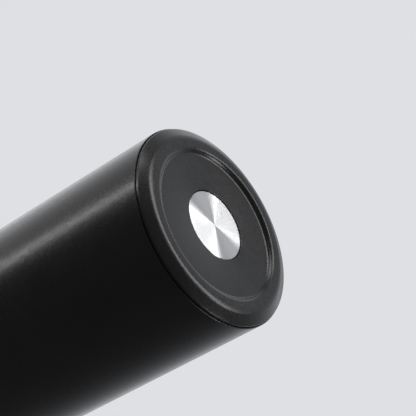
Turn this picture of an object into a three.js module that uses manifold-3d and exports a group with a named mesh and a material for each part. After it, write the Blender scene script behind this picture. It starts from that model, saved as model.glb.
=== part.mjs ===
// Vacuum flask: a double-walled steel body, a push-button stopper and a screw-on drinking cup.
// Millimetres, +Z up. The origin is the centre of the base, on the plane that the flask stands on.

import * as THREE from 'three';
import { mergeVertices } from 'three/addons/utils/BufferGeometryUtils.js';
import Module from 'manifold-3d';

const wasm = await Module();
wasm.setup();

// ---------------------------------------------------------------- driving dimensions

// Clearances between separate pieces
const fitGap = 0.3;             // between a piece and the one that it is pressed or glued into
const seatGap = 0.2;            // between two flat faces that rest on each other
const runGap = 0.5;             // between pieces that turn or slide past each other

// Body tube and its vacuum gap
const bodyRadius = 35;          // outside of the painted tube
const bodyHeight = 193;         // base plane to the shelf under the cup
const shellWall = 0.45;
const shoulderFillet = 1.5;     // between the tube and the shelf
const vacuumGap = 3;            // between tube and liner, at the sides
const linerWall = 0.4;
const foilThickness = 0.2;
const shoulderDrop = 6;         // shelf to the top of the liner's shoulder, below it
const linerShoulderRise = 7;    // height in which the liner draws in to the neck

// Base cover, with its ring, recess and shoulder
const edgeInset = 0.5;          // tube's outside to the end of the cover's shoulder
const shoulderWidth = 3.9;      // shoulder, from there in to the flat ring
const slopeHeight = 2.2;        // how far the shoulder climbs before it turns upright
const edgeRound = 1.35;         // round between the slope and the upright edge
const ringWidth = 4;            // flat ring that the flask stands on
const recessSlope = 1.2;        // how far the recess wall leans inwards
const recessDepth = 1.35;
const coverEdgeHeight = 3;      // base plane to the end of the shoulder, beside the seam
const seamGap = 0.2;            // open groove between the cover and the tube
const coverWall = 0.8;
const spigotHeight = 6;         // skirt that goes up inside the tube

// Sunray disc in the middle of the base
const discRadius = 12;
const discThickness = 0.6;
const discSink = 0.3;           // how deep its face lies under the recess floor
const padThickness = 0.2;

// Vacuum bottom plate, its evacuation hole and the getter
const plateWall = 0.7;
const plateSkirt = 2.4;
const dimpleRadius = 6;
const dimpleDepth = 2;
const portRadius = 1.1;
const beadRadius = 4.5;
const beadHeight = 0.9;
const bottomGap = 5;            // vacuum gap under the liner
const linerBottomFillet = 6;
const linerBottomSkirt = 1.5;
const getterRadius = 4;
const getterHeight = 1.8;
const getterOffset = 16;        // from the flask's axis
const clipThickness = 0.4;
const clipWidth = 3;
const clipReach = 6.5;          // half length of the strap that holds the getter

// Neck and mouth
const neckGap = 1.5;            // between the liner's neck and the tube's neck
const neckHeight = 18.5;        // shelf to the top of the mouth
const neckFoot = 2.6;           // width of the sleeve's foot, welded under the shelf
const lipThickness = 0.8;

// Threads: round rolled ridges, right-handed, one start
const threadPitch = 5;
const threadTurns = 1.5;
const ridgeRadius = 1;
const threadStart = 3.5;        // shelf to the first turn
const threadMargin = 3.5;       // from the last turn to the top of the cup's thread ring

// Stopper
const plugWall = 1.8;
const plugDepth = 24.5;         // below the mouth
const plugFloor = 2;
const flowRadius = 8;           // bore of the pouring tube
const flowWall = 1.6;
const valvePortRadius = 6;
const flangeInset = 1.2;        // neck's outside to the flange's edge
const flangeThickness = 2.4;
const gasketHeight = 2;
const foamCapThickness = 1.2;
const coverHeight = 7;          // stopper cover, above the flange
const coverInset = 0.8;         // flange's edge to the stopper cover's side
const coverShell = 1.6;
const spoutWidth = 14;
const spoutHeight = 3.6;
const collarWall = 1.4;         // guide round the button, inside the cover
const collarGap = 2.2;          // way out between the pouring tube and the collar

// Push button, stem and valve
const buttonRadius = 10.7;
const buttonStand = 1.6;        // how far it stands out of the stopper cover
const buttonSkirt = 5;
const buttonWall = 1.4;
const buttonTravel = 3.5;
const buttonSealHeight = 1.4;
const stemRadius = 2.2;
const guideHeight = 2;
const guideDrop = 8;            // flange top down to the top of the stem's guide
const springRadius = 4.6;
const springWire = 0.45;        // radius of the wire
const springTurns = 5;
const sealRadius = 7.4;
const sealHeight = 2;
const retainerRadius = 5;
const retainerHeight = 1.2;

// Cup
const cupHeight = 48;           // mouth to top, outside
const cupWall = 0.45;
const cupFillet = 4;            // round edge at the closed end
const cupAirGap = 2;            // between the cup's two walls
const cupLinerWall = 0.4;
const cupRingHeight = 1.6;      // silicone ring at the cup's mouth
const threadRingWall = 2;

// Facets
const roundSides = 28;          // around the flask
const smallSides = 16;          // around the stem, the button and the small pieces
const ridgeSides = 6;           // across a thread ridge
const stepsPerTurn = 24;        // along a thread

// ---------------------------------------------------------------- worked-out dimensions

const shellBore = bodyRadius - shellWall;
const linerRadius = shellBore - vacuumGap;
const linerBore = linerRadius - linerWall;
const spigotRadius = shellBore - fitGap;
const coverEdgeRadius = bodyRadius - edgeInset;
const ringOuterRadius = coverEdgeRadius - shoulderWidth;
const ringInnerRadius = ringOuterRadius - ringWidth;
const tubeBottom = coverEdgeHeight + seamGap;

const pocketDepth = discSink + discThickness + padThickness + 2 * seatGap;
const pocketTop = recessDepth + pocketDepth;

const plateBottom = coverEdgeHeight + spigotHeight + fitGap;
const plateTop = plateBottom + plateSkirt + plateWall;
const linerBottomZ = plateTop + bottomGap;
const linerTubeBottom = linerBottomZ + linerBottomFillet + linerBottomSkirt + fitGap;

// From the cup's outside in to the mouth, through every piece between them
const cupBore = bodyRadius - cupWall;
const cupLinerRadius = cupBore - cupAirGap;
const cupLinerBore = cupLinerRadius - cupLinerWall;
const threadRingRadius = cupLinerBore - fitGap;
const threadRingBore = threadRingRadius - threadRingWall;
const neckRadius = threadRingBore - ridgeRadius - runGap;
const neckShellBore = neckRadius - shellWall;
const neckLinerRadius = neckShellBore - neckGap;
const mouthRadius = neckLinerRadius - linerWall;

const mouthTop = bodyHeight + neckHeight;
const sleeveTop = mouthTop - lipThickness - fitGap;
const upperRidgeStart = bodyHeight + threadStart + threadPitch / 2;
const linerNeckBottom = bodyHeight - shoulderDrop;
const linerShoulderBottom = linerNeckBottom - linerShoulderRise;

const plugRadius = mouthRadius - ridgeRadius - runGap;
const flangeRadius = neckRadius - flangeInset;
const coverRadius = flangeRadius - coverInset;
const gasketBottom = mouthTop + seatGap;
const flangeBottom = gasketBottom + gasketHeight + seatGap;
const flangeTop = flangeBottom + flangeThickness;
const plugBottom = mouthTop - plugDepth;
const flowOuter = flowRadius + flowWall;
const stopperTop = flangeTop + seatGap + coverHeight;
const guideTop = flangeTop - guideDrop;
const buttonTop = stopperTop + buttonStand;
const buttonHole = buttonRadius + runGap;
const buttonBottom = buttonTop - buttonSkirt;
const buttonSealTop = buttonBottom - seatGap;
const buttonSealBottom = buttonSealTop - buttonSealHeight;
const flowTop = buttonSealBottom - buttonTravel - runGap;
const foamCapBottom = flowTop - foamCapThickness;
const springTop = buttonTop - buttonWall - seatGap;
const springBottom = guideTop + seatGap;
const sealTop = plugBottom - seatGap;
const stemFlange = sealTop - sealHeight - seatGap;

const cupMouth = bodyHeight + seatGap + cupRingHeight + seatGap;
const cupTop = cupMouth + cupHeight;
const cupLinerTop = cupTop - cupWall - cupAirGap;
const threadRingTop = upperRidgeStart + threadPitch * threadTurns + threadMargin;

// ---------------------------------------------------------------- shape helpers

// Rounds the corners of a closed outline in the (radius, height) plane.
// A corner is [radius, height, fillet]; a fillet of 0 or none leaves it sharp.
function roundedOutline(corners, steps) {
  const points = [];
  corners.forEach(([r, z, fillet = 0], i) => {
    const here = new THREE.Vector2(r, z);
    if (fillet === 0) {
      points.push(here);
      return;
    }
    const before = new THREE.Vector2(...corners.at(i - 1)).sub(here).normalize();
    const after = new THREE.Vector2(...corners[(i + 1) % corners.length]).sub(here).normalize();
    const half = Math.acos(THREE.MathUtils.clamp(before.dot(after), -1, 1)) / 2;
    const middle = before.clone().add(after).normalize();
    const centre = here.clone().addScaledVector(middle, fillet / Math.sin(half));
    const start = here.clone().addScaledVector(before, fillet / Math.tan(half)).sub(centre);
    const end = here.clone().addScaledVector(after, fillet / Math.tan(half)).sub(centre);
    const sweep = Math.atan2(start.cross(end), start.dot(end));
    for (let k = 0; k <= steps; k += 1) {
      points.push(start.clone().rotateAround(new THREE.Vector2(), (sweep * k) / steps).add(centre));
    }
  });
  return points;
}

// Turns a closed outline about the Z axis. The outline may run either way round.
function revolve(corners, sides = roundSides, steps = 2) {
  const points = roundedOutline(corners, steps);
  if (THREE.ShapeUtils.area(points) < 0) points.reverse();
  const onAxis = points.findIndex((p, i) => p.x === 0 && points[(i + 1) % points.length].x === 0);
  if (onAxis >= 0) {
    // The outline touches the axis: start and end there, and leave out the edge that lies on it.
    points.push(...points.splice(0, onAxis + 1));
  } else {
    points.push(points[0].clone());
  }
  return new THREE.LatheGeometry(points, sides).rotateX(Math.PI / 2);
}

// A plain tube, or a solid rod when the bore is 0.
function tube(outer, bore, bottom, top, sides = roundSides) {
  return revolve([[bore, bottom], [outer, bottom], [outer, top], [bore, top]], sides);
}

// A helix about the Z axis that rises by the pitch in each turn.
class Helix extends THREE.Curve {
  constructor(radius, pitch, turns, bottom) {
    super();
    Object.assign(this, { radius, pitch, turns, bottom });
  }

  getPoint(t, target = new THREE.Vector3()) {
    const angle = 2 * Math.PI * this.turns * t;
    const height = this.bottom + this.pitch * this.turns * t;
    return target.set(this.radius * Math.cos(angle), this.radius * Math.sin(angle), height);
  }
}

// A round rod along a helix.
function helicalRod(helix, rodRadius, sides, steps) {
  const section = new THREE.Shape();
  section.absarc(0, 0, rodRadius, 0, 2 * Math.PI);
  return new THREE.ExtrudeGeometry(section, {
    steps,
    curveSegments: sides / 2,     // a full circle gets twice this many
    bevelEnabled: false,
    extrudePath: helix,
  });
}

// One start of a rolled thread. The two halves of a pair lie half a pitch apart.
function threadRidge(radius, bottom) {
  const helix = new Helix(radius, threadPitch, threadTurns, bottom);
  return helicalRod(helix, ridgeRadius, ridgeSides, Math.round(stepsPerTurn * threadTurns));
}

// Makes a manifold solid of a closed geometry whose faces may point either way.
function toSolid(geometry) {
  const bare = geometry.clone();
  bare.deleteAttribute('normal');
  bare.deleteAttribute('uv');
  const merged = mergeVertices(bare, 1e-4);
  const corners = [];
  const index = merged.index.array;
  for (let i = 0; i < index.length; i += 3) {
    const [a, b, c] = [index[i], index[i + 1], index[i + 2]];
    if (a !== b && b !== c && c !== a) corners.push(a, b, c);
  }
  const build = (list) => new wasm.Manifold(new wasm.Mesh({
    numProp: 3,
    vertProperties: new Float32Array(merged.attributes.position.array),
    triVerts: new Uint32Array(list),
  }));
  const solid = build(corners);
  return solid.volume() > 0 ? solid : build(corners.reverse());
}

function toGeometry(solid) {
  const { vertProperties, triVerts } = solid.getMesh();
  const geometry = new THREE.BufferGeometry();
  geometry.setAttribute('position', new THREE.BufferAttribute(vertProperties, 3));
  geometry.setIndex(new THREE.BufferAttribute(triVerts, 1));
  geometry.computeVertexNormals();
  return geometry;
}

function join(first, ...others) {
  return toGeometry(others.reduce((solid, next) => solid.add(toSolid(next)), toSolid(first)));
}

function cut(first, ...others) {
  return toGeometry(others.reduce((solid, next) => solid.subtract(toSolid(next)), toSolid(first)));
}

// ---------------------------------------------------------------- materials

function finish(color, roughness, metalness) {
  return new THREE.MeshStandardMaterial({ color, roughness, metalness });
}

const blackPaint = () => finish(0x1b1b1d, 0.38, 0.1);
const brushedSteel = () => finish(0xb9bbbd, 0.3, 1);
const sunrayAluminium = () => finish(0xdcdee0, 0.25, 1);
const copperFoil = () => finish(0xb87345, 0.3, 1);
const blackPlastic = () => finish(0x1e1e20, 0.5, 0);
const greyPlastic = () => finish(0x4a4b50, 0.5, 0);
const clearSilicone = () => finish(0xd8d8d4, 0.6, 0);
const blackSilicone = () => finish(0x202022, 0.7, 0);
const whiteFoam = () => finish(0xe6e4de, 0.9, 0);
const sealGlass = () => finish(0x2c3a36, 0.2, 0);
const springSteel = () => finish(0xa9abad, 0.3, 1);
const getterMetal = () => finish(0x7d7f82, 0.5, 1);
const padFilm = () => finish(0xc9c7bd, 0.8, 0);

const flask = new THREE.Group();

function addPart(name, geometry, material) {
  const mesh = new THREE.Mesh(geometry, material);
  mesh.name = name;
  flask.add(mesh);
  return mesh;
}

// ---------------------------------------------------------------- body

// Painted tube: open at the base, drawn in to a shelf at the top.
function outerShell() {
  const hole = neckRadius + fitGap;
  return revolve([
    [bodyRadius, tubeBottom],
    [bodyRadius, bodyHeight, shoulderFillet],
    [hole, bodyHeight],
    [hole, bodyHeight - shellWall],
    [shellBore, bodyHeight - shellWall, shoulderFillet - shellWall],
    [shellBore, tubeBottom],
  ]);
}

// Steel sleeve with the cup's thread rolled into it. It stands in the shelf's hole, on a foot
// that is welded to the shelf from below.
function neckSleeve() {
  const footTop = bodyHeight - shellWall - seatGap;
  const blank = revolve([
    [neckRadius, footTop],
    [neckRadius, sleeveTop],
    [neckShellBore, sleeveTop],
    [neckShellBore, footTop - shellWall, shellWall],
    [neckRadius + neckFoot, footTop - shellWall],
    [neckRadius + neckFoot, footTop],
  ]);
  return join(blank, threadRidge(neckRadius + ridgeRadius / 5, bodyHeight + threadStart));
}

// Steel liner that holds the drink, with the stopper's thread rolled into its neck.
function innerLiner() {
  const blank = revolve([
    [linerBore, linerTubeBottom],
    [linerBore, linerShoulderBottom, linerShoulderRise / 2],
    [mouthRadius, linerNeckBottom, linerShoulderRise / 2],
    [mouthRadius, mouthTop],
    [neckRadius, mouthTop, lipThickness / 2],
    [neckRadius, mouthTop - lipThickness],
    [neckLinerRadius, mouthTop - lipThickness],
    [neckLinerRadius, linerNeckBottom, linerShoulderRise / 2],
    [linerRadius, linerShoulderBottom, linerShoulderRise / 2],
    [linerRadius, linerTubeBottom],
  ]);
  return join(blank, threadRidge(mouthRadius, bodyHeight + threadStart));
}

// Dished steel bottom, butt-welded to the liner's tube.
function linerBottom() {
  const top = linerTubeBottom - fitGap;
  const inside = linerBottomFillet - linerWall;
  return revolve([
    [0, linerBottomZ],
    [linerRadius, linerBottomZ, linerBottomFillet],
    [linerRadius, top],
    [linerBore, top],
    [linerBore, linerBottomZ + linerWall, inside],
    [0, linerBottomZ + linerWall],
  ]);
}

// Plate that closes the vacuum, with a dimple round the hole that it was pumped out through.
function vacuumPlate() {
  const under = plateTop - plateWall;
  return revolve([
    [portRadius, under + dimpleDepth],
    [dimpleRadius, under + dimpleDepth],
    [dimpleRadius, under],
    [spigotRadius - plateWall, under],
    [spigotRadius - plateWall, plateBottom],
    [spigotRadius, plateBottom],
    [spigotRadius, plateTop, plateWall],
    [dimpleRadius + plateWall, plateTop],
    [dimpleRadius + plateWall, plateTop + dimpleDepth],
    [portRadius, plateTop + dimpleDepth],
  ]);
}

// Glass bead, melted over the evacuation hole.
function vacuumSeal() {
  const top = plateTop - plateWall + dimpleDepth - seatGap;
  return revolve([[0, top - beadHeight], [beadRadius, top - beadHeight, beadHeight / 2],
    [beadRadius, top], [0, top]], smallSides, 2);
}

// Gas-absorbing pellet on the vacuum plate, and the steel strap that holds it down.
function getter() {
  const bottom = plateTop + seatGap;
  return tube(getterRadius, 0, bottom, bottom + getterHeight, smallSides)
    .translate(getterOffset, 0, 0);
}

function getterClip() {
  const legBottom = plateTop + seatGap;
  const bridge = legBottom + getterHeight + seatGap;
  const inner = getterRadius + fitGap;
  const strap = new THREE.Shape([
    [-clipReach, legBottom], [-inner, legBottom], [-inner, bridge], [inner, bridge],
    [inner, legBottom], [clipReach, legBottom], [clipReach, legBottom + clipThickness],
    [inner + clipThickness, legBottom + clipThickness], [inner + clipThickness, bridge + clipThickness],
    [-inner - clipThickness, bridge + clipThickness], [-inner - clipThickness, legBottom + clipThickness],
    [-clipReach, legBottom + clipThickness],
  ].map(([x, y]) => new THREE.Vector2(x, y)));
  return new THREE.ExtrudeGeometry(strap, { depth: clipWidth, bevelEnabled: false })
    .translate(0, 0, -clipWidth / 2)
    .rotateX(Math.PI / 2)
    .rotateZ(Math.PI / 2)
    .translate(getterOffset, 0, 0);
}

// Copper foil wrapped round the liner, which keeps radiant heat in.
function heatFoil() {
  const bore = linerRadius + seatGap;
  return tube(bore + foilThickness, bore, linerTubeBottom, linerShoulderBottom - shoulderDrop);
}

// Painted cover over the base: sloped shoulder, flat ring, recess, and a pocket for the disc.
function baseCover() {
  const pocketRadius = discRadius + fitGap;
  const floorRadius = ringInnerRadius - recessSlope;
  const insideSpigot = spigotRadius - coverWall;
  const spigotTop = coverEdgeHeight + spigotHeight;
  return revolve([
    [0, pocketTop],
    [pocketRadius, pocketTop],
    [pocketRadius, recessDepth],
    [floorRadius, recessDepth],
    [ringInnerRadius, 0],
    [ringOuterRadius, 0],
    [coverEdgeRadius, slopeHeight, edgeRound],
    [coverEdgeRadius, coverEdgeHeight],
    [spigotRadius, coverEdgeHeight],
    [spigotRadius, spigotTop],
    [insideSpigot, spigotTop],
    [insideSpigot, coverEdgeHeight + coverWall],
    [ringOuterRadius, coverWall],
    [ringInnerRadius + coverWall, coverWall],
    [floorRadius + coverWall, recessDepth + coverWall],
    [pocketRadius + coverWall, recessDepth + coverWall],
    [pocketRadius + coverWall, pocketTop + coverWall],
    [0, pocketTop + coverWall],
  ]);
}

// Sunray-brushed aluminium disc, and the film that glues it into its pocket.
function baseDisc() {
  const face = recessDepth + discSink;
  return revolve([[0, face], [discRadius, face, discThickness / 4],
    [discRadius, face + discThickness], [0, face + discThickness]], roundSides, 1);
}

function discPad() {
  const bottom = recessDepth + discSink + discThickness + seatGap;
  return tube(discRadius - fitGap, 0, bottom, bottom + padThickness);
}

// ---------------------------------------------------------------- stopper

// Silicone ring squeezed between the mouth and the stopper's flange.
function stopperGasket() {
  return tube(flangeRadius - fitGap, plugRadius + fitGap, gasketBottom, gasketBottom + gasketHeight);
}

// Threaded plug with a pouring tube in the middle, open at the top for the insulation.
function stopperBody() {
  const inside = plugRadius - plugWall;
  const floorTop = plugBottom + plugFloor;
  const blank = revolve([
    [valvePortRadius, plugBottom],
    [plugRadius, plugBottom, plugFloor / 2],
    [plugRadius, flangeBottom],
    [flangeRadius, flangeBottom],
    [flangeRadius, flangeTop, flangeThickness / 4],
    [inside, flangeTop],
    [inside, floorTop],
    [flowOuter, floorTop],
    [flowOuter, flowTop],
    [flowRadius, flowTop],
    [flowRadius, floorTop],
    [valvePortRadius, floorTop],
  ]);
  // Its ridge lies half a pitch above the neck's, in the groove between two turns.
  return join(blank, threadRidge(plugRadius, upperRidgeStart));
}

// Foam ring in the hollow plug.
function stopperFoam() {
  const bottom = plugBottom + plugFloor + seatGap;
  return tube(plugRadius - plugWall - fitGap, flowOuter + fitGap, bottom, foamCapBottom - seatGap);
}

// Ring plate over the foam: the floor of the pouring channel.
function foamCap() {
  return tube(plugRadius - plugWall - fitGap, flowOuter + fitGap, foamCapBottom, flowTop);
}

// Cover over the flange. The channel under it leads from the tube to the pouring lip, and the
// collar in its middle guides the button.
function stopperCover() {
  const bottom = flangeTop + seatGap;
  const collarBottom = flowTop + collarGap;
  const cap = revolve([
    [coverRadius - coverShell, bottom],
    [coverRadius, bottom],
    [coverRadius, stopperTop, coverShell],
    [buttonHole, stopperTop],
    [buttonHole, collarBottom],
    [buttonHole + collarWall, collarBottom],
    [buttonHole + collarWall, stopperTop - coverShell],
    [coverRadius - coverShell, stopperTop - coverShell],
  ]);
  const lip = new THREE.BoxGeometry(coverRadius, spoutWidth, spoutHeight)
    .translate(coverRadius, 0, bottom + spoutHeight / 2 - seatGap);
  return cut(cap, lip);
}

// Three-armed guide in the pouring tube: it centres the stem and carries the spring.
function stemGuide() {
  const rim = flowRadius - fitGap;
  const hub = springRadius + 2 * springWire;
  const wall = rim - hub;
  const plate = new THREE.Shape();
  plate.absarc(0, 0, rim, 0, 2 * Math.PI);
  const bore = new THREE.Path();
  bore.absarc(0, 0, stemRadius + fitGap, 0, 2 * Math.PI, true);
  plate.holes.push(bore);
  const arms = 3;
  const opening = (2 * Math.PI) / arms - 0.6;
  for (let i = 0; i < arms; i += 1) {
    const start = (2 * Math.PI * i) / arms;
    const window = new THREE.Path();
    window.absarc(0, 0, rim - wall / 3, start, start + opening);
    window.absarc(0, 0, hub - wall / 3, start + opening, start, true);
    window.closePath();
    plate.holes.push(window);
  }
  return new THREE.ExtrudeGeometry(plate, { depth: guideHeight, bevelEnabled: false, curveSegments: 8 })
    .translate(0, 0, guideTop - guideHeight);
}

// Compression spring that pushes the button up and the valve shut.
function buttonSpring() {
  const height = springTop - springBottom - 2 * springWire;
  const helix = new Helix(springRadius, height / springTurns, springTurns, springBottom + springWire);
  return helicalRod(helix, springWire, ridgeSides, 10 * springTurns);
}

// ---------------------------------------------------------------- button and valve

function pushButton() {
  const under = buttonTop - buttonWall;
  return revolve([
    [0, under],
    [buttonRadius - buttonWall, under],
    [buttonRadius - buttonWall, buttonBottom],
    [buttonRadius, buttonBottom],
    [buttonRadius, buttonTop, buttonWall / 2],
    [0, buttonTop],
  ], smallSides, 2);
}

// Silicone ring under the button's skirt, which keeps the drink out of its hole.
function buttonSeal() {
  const bore = buttonRadius - buttonWall;
  return tube(buttonRadius + fitGap, bore, buttonSealBottom, buttonSealTop, smallSides);
}

// Stem from the button down through the pouring tube, with a foot that carries the seal.
function valveStem() {
  const footTop = stemFlange;
  return revolve([
    [0, footTop - 1],
    [stemRadius + 1, footTop - 1],
    [stemRadius + 1, footTop],
    [stemRadius, footTop],
    [stemRadius, buttonTop - buttonWall - seatGap],
    [0, buttonTop - buttonWall - seatGap],
  ], smallSides);
}

// Silicone disc that closes the port in the plug's floor from below.
function valveSeal() {
  return tube(sealRadius, stemRadius + fitGap, sealTop - sealHeight, sealTop, smallSides);
}

// Cap pressed over the stem's foot, which keeps the seal on.
function sealRetainer() {
  const foot = stemRadius + 1 + fitGap;
  const top = stemFlange;
  const inside = stemFlange - 1 - seatGap;
  return revolve([
    [0, inside - retainerHeight],
    [retainerRadius, inside - retainerHeight, retainerHeight / 2],
    [retainerRadius, top],
    [foot, top],
    [foot, inside],
    [0, inside],
  ], smallSides, 2);
}

// ---------------------------------------------------------------- cup

// Silicone ring at the cup's mouth, which rests on the body's shelf.
function cupRimRing() {
  const bottom = bodyHeight + seatGap;
  return revolve([
    [threadRingBore + fitGap, bottom],
    [bodyRadius - shoulderFillet, bottom, cupRingHeight / 3],
    [bodyRadius - shoulderFillet / 2, bottom + cupRingHeight],
    [threadRingBore + fitGap, bottom + cupRingHeight],
  ], roundSides, 2);
}

// Painted outer wall of the cup.
function cupShell() {
  return revolve([
    [bodyRadius, cupMouth],
    [bodyRadius, cupTop, cupFillet],
    [0, cupTop],
    [0, cupTop - cupWall],
    [cupBore, cupTop - cupWall, cupFillet - cupWall],
    [cupBore, cupMouth],
  ], roundSides, 3);
}

// Steel inner wall of the cup, flared at the mouth to meet the outer one.
function cupLiner() {
  const flare = cupBore - fitGap;
  const inside = cupFillet - cupLinerWall;
  return revolve([
    [cupLinerBore, cupMouth],
    [flare, cupMouth],
    [flare, cupMouth + cupLinerWall],
    [cupLinerRadius, cupMouth + cupLinerWall],
    [cupLinerRadius, cupLinerTop, cupFillet],
    [0, cupLinerTop],
    [0, cupLinerTop - cupLinerWall],
    [cupLinerBore, cupLinerTop - cupLinerWall, inside],
  ], roundSides, 3);
}

// Plastic ring in the cup's mouth, with the thread that fits the neck.
function cupThreadRing() {
  const blank = revolve([
    [threadRingBore, cupMouth],
    [threadRingRadius, cupMouth],
    [threadRingRadius, threadRingTop, threadRingWall / 2],
    [threadRingBore, threadRingTop],
  ]);
  return join(blank, threadRidge(threadRingBore, upperRidgeStart));
}

// ---------------------------------------------------------------- assembly

addPart('outer_shell', outerShell(), blackPaint());
addPart('neck_sleeve', neckSleeve(), brushedSteel());
addPart('inner_liner', innerLiner(), brushedSteel());
addPart('liner_bottom', linerBottom(), brushedSteel());
addPart('vacuum_plate', vacuumPlate(), brushedSteel());
addPart('vacuum_seal', vacuumSeal(), sealGlass());
addPart('getter', getter(), getterMetal());
addPart('getter_clip', getterClip(), springSteel());
addPart('heat_foil', heatFoil(), copperFoil());
addPart('base_cover', baseCover(), blackPaint());
addPart('disc_pad', discPad(), padFilm());
addPart('base_disc', baseDisc(), sunrayAluminium());

addPart('stopper_gasket', stopperGasket(), clearSilicone());
addPart('stopper_body', stopperBody(), blackPlastic());
addPart('stopper_foam', stopperFoam(), whiteFoam());
addPart('foam_cap', foamCap(), blackPlastic());
addPart('stopper_cover', stopperCover(), blackPlastic());
addPart('stem_guide', stemGuide(), greyPlastic());
addPart('button_spring', buttonSpring(), springSteel());

addPart('push_button', pushButton(), greyPlastic());
addPart('button_seal', buttonSeal(), clearSilicone());
addPart('valve_stem', valveStem(), greyPlastic());
addPart('valve_seal', valveSeal(), clearSilicone());
addPart('seal_retainer', sealRetainer(), greyPlastic());

addPart('cup_rim_ring', cupRimRing(), blackSilicone());
addPart('cup_shell', cupShell(), blackPaint());
addPart('cup_liner', cupLiner(), brushedSteel());
addPart('cup_thread_ring', cupThreadRing(), blackPlastic());

export default flask;
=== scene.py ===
"""Vacuum flask: the finished pieces, their finishes, the studio and the camera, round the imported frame.

Metres, +Z up along the flask, with the origin at the centre of the base ring. Each sub-assembly is
a class: its fields are sizes, and its methods turn, thread, cut and dress its pieces. Radii and
heights come from the frame's own boxes.
"""
import logging
import math
from dataclasses import dataclass, field
from enum import Enum
from typing import Callable, Iterable, Sequence

import bmesh
import bpy
from mathutils import Matrix, Vector


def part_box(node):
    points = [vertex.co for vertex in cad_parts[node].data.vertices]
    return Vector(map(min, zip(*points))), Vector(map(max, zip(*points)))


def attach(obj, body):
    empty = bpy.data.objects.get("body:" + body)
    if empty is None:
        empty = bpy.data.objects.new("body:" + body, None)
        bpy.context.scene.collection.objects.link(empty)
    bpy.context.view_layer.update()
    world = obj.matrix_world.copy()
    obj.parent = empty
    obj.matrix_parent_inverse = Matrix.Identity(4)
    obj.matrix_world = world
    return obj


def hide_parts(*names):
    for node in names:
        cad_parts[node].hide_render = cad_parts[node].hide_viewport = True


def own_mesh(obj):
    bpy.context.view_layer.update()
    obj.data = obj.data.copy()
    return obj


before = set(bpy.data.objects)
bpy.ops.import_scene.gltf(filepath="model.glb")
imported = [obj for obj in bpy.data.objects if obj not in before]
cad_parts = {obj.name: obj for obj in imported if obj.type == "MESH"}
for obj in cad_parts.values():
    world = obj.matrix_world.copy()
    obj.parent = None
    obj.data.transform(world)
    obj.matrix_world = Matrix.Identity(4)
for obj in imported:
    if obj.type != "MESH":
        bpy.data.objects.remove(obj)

LOG = logging.getLogger("flask")

MM = 0.001
TURN = 2 * math.pi
FIT_GAP = 0.3 * MM              # between a piece and the one that it is pressed into
SEAT_GAP = 0.2 * MM             # between two flat faces that rest on each other
ROUND_STEPS = 192               # facets round the flask
SMALL_STEPS = 96                # facets round the stem, the valve and the small pieces
SHARP_ANGLE = math.radians(32)  # an edge that bends more than this keeps a crisp line
THREAD_PITCH = 5 * MM           # rise of both threads in one turn
THREAD_START = 3.5 * MM         # shelf to the middle of a thread's first turn
RIDGE_RISE = 1 * MM             # how far a moulded thread stands out
SHELL_WALL = 0.45 * MM          # steel of the tube, the neck and the cup's outside
LINER_WALL = 0.4 * MM           # steel of the liner, its bottom and the cup's inside
NECK_FOOT = 2.6 * MM            # how far the neck's welded foot stands out from the neck
STEM_RADIUS = 2.2 * MM          # rod between the button and the valve

CUT_EDGE = 0.1 * MM             # round on a sheared or ground edge
CRISP_EDGE = 0.15 * MM          # round on a fine pressed or moulded edge
EDGE = 0.2 * MM                 # usual round
BLUNT_EDGE = 0.25 * MM          # round on the edge of a small moulding
SOFT_EDGE = 0.3 * MM            # round on an edge that seals or is touched
FULL_EDGE = 0.4 * MM            # round on the edge of a thick wall
WIDE_EDGE = 0.5 * MM            # round where a wall turns into a floor
ARC_STEP = 0.25 * MM            # radius of a fillet for each of its facets
ARC_FACETS = (4, 12)            # fewest and most facets across a fillet

MERGE_REACH = 1e-7              # corners closer than this are one
POINT_REACH = 1e-6              # points closer than this stand in one place
SKIN_REACH = 0.05 * MM          # a point this close to a wall's radius belongs to the wall
SMALLEST_RADIUS = 1e-5          # keeps a pattern that divides by the radius finite
NOISE_LOW, NOISE_HIGH = 0.3, 0.7             # nearly all of a noise's values lie between these
MIX_DARK, MIX_LIGHT, MIX_RESULT = 6, 7, 2    # colour sockets of a Mix node


# ---------------------------------------------------------------- shapes

@dataclass(frozen=True)
class Corner:
    """A corner of an outline in the plane of radius and height, and the fillet that rounds it."""

    radius: float
    height: float
    fillet: float = 0.0


@dataclass(frozen=True)
class Extent:
    """Largest radius, bottom and top of a round piece."""

    radius: float
    bottom: float
    top: float

    @classmethod
    def of(cls, node: str) -> "Extent":
        """Read the extent of a CAD node.

        Args:
            node: Name of the node.

        Returns:
            Its largest radius about the flask's axis, its bottom and its top.
        """
        low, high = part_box(node)
        return cls(max(high.x, high.y), low.z, high.z)


@dataclass(frozen=True)
class Thread:
    """A rolled, right-handed thread with one start, which fades in and out at its ends."""

    start: float
    pitch: float = THREAD_PITCH
    turns: float = 1.5
    half_width: float = 1.35 * MM
    fade: float = 0.09

    def lift(self, angle: float, height: float) -> float:
        """Tell how far the ridge stands up at a point.

        Args:
            angle: Direction of the point about the axis, in radians.
            height: Height of the point.

        Returns:
            Share of the ridge's full height, from 0 to 1.
        """
        whole = angle / TURN % 1
        best = 0.0
        for extra in range(math.ceil(self.turns)):
            turn = whole + extra
            if turn > self.turns:
                continue
            off = (height - self.start - self.pitch * turn) / self.half_width
            if abs(off) < 1:
                end = min(turn, self.turns - turn) / self.fade
                best = max(best, smooth(end) * (0.5 + 0.5 * math.cos(math.pi * off)))
        return best


def smooth(share: float) -> float:
    """Return a share held to 0..1 and eased at both ends."""
    share = min(max(share, 0.0), 1.0)
    return share * share * (3 - 2 * share)


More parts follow.
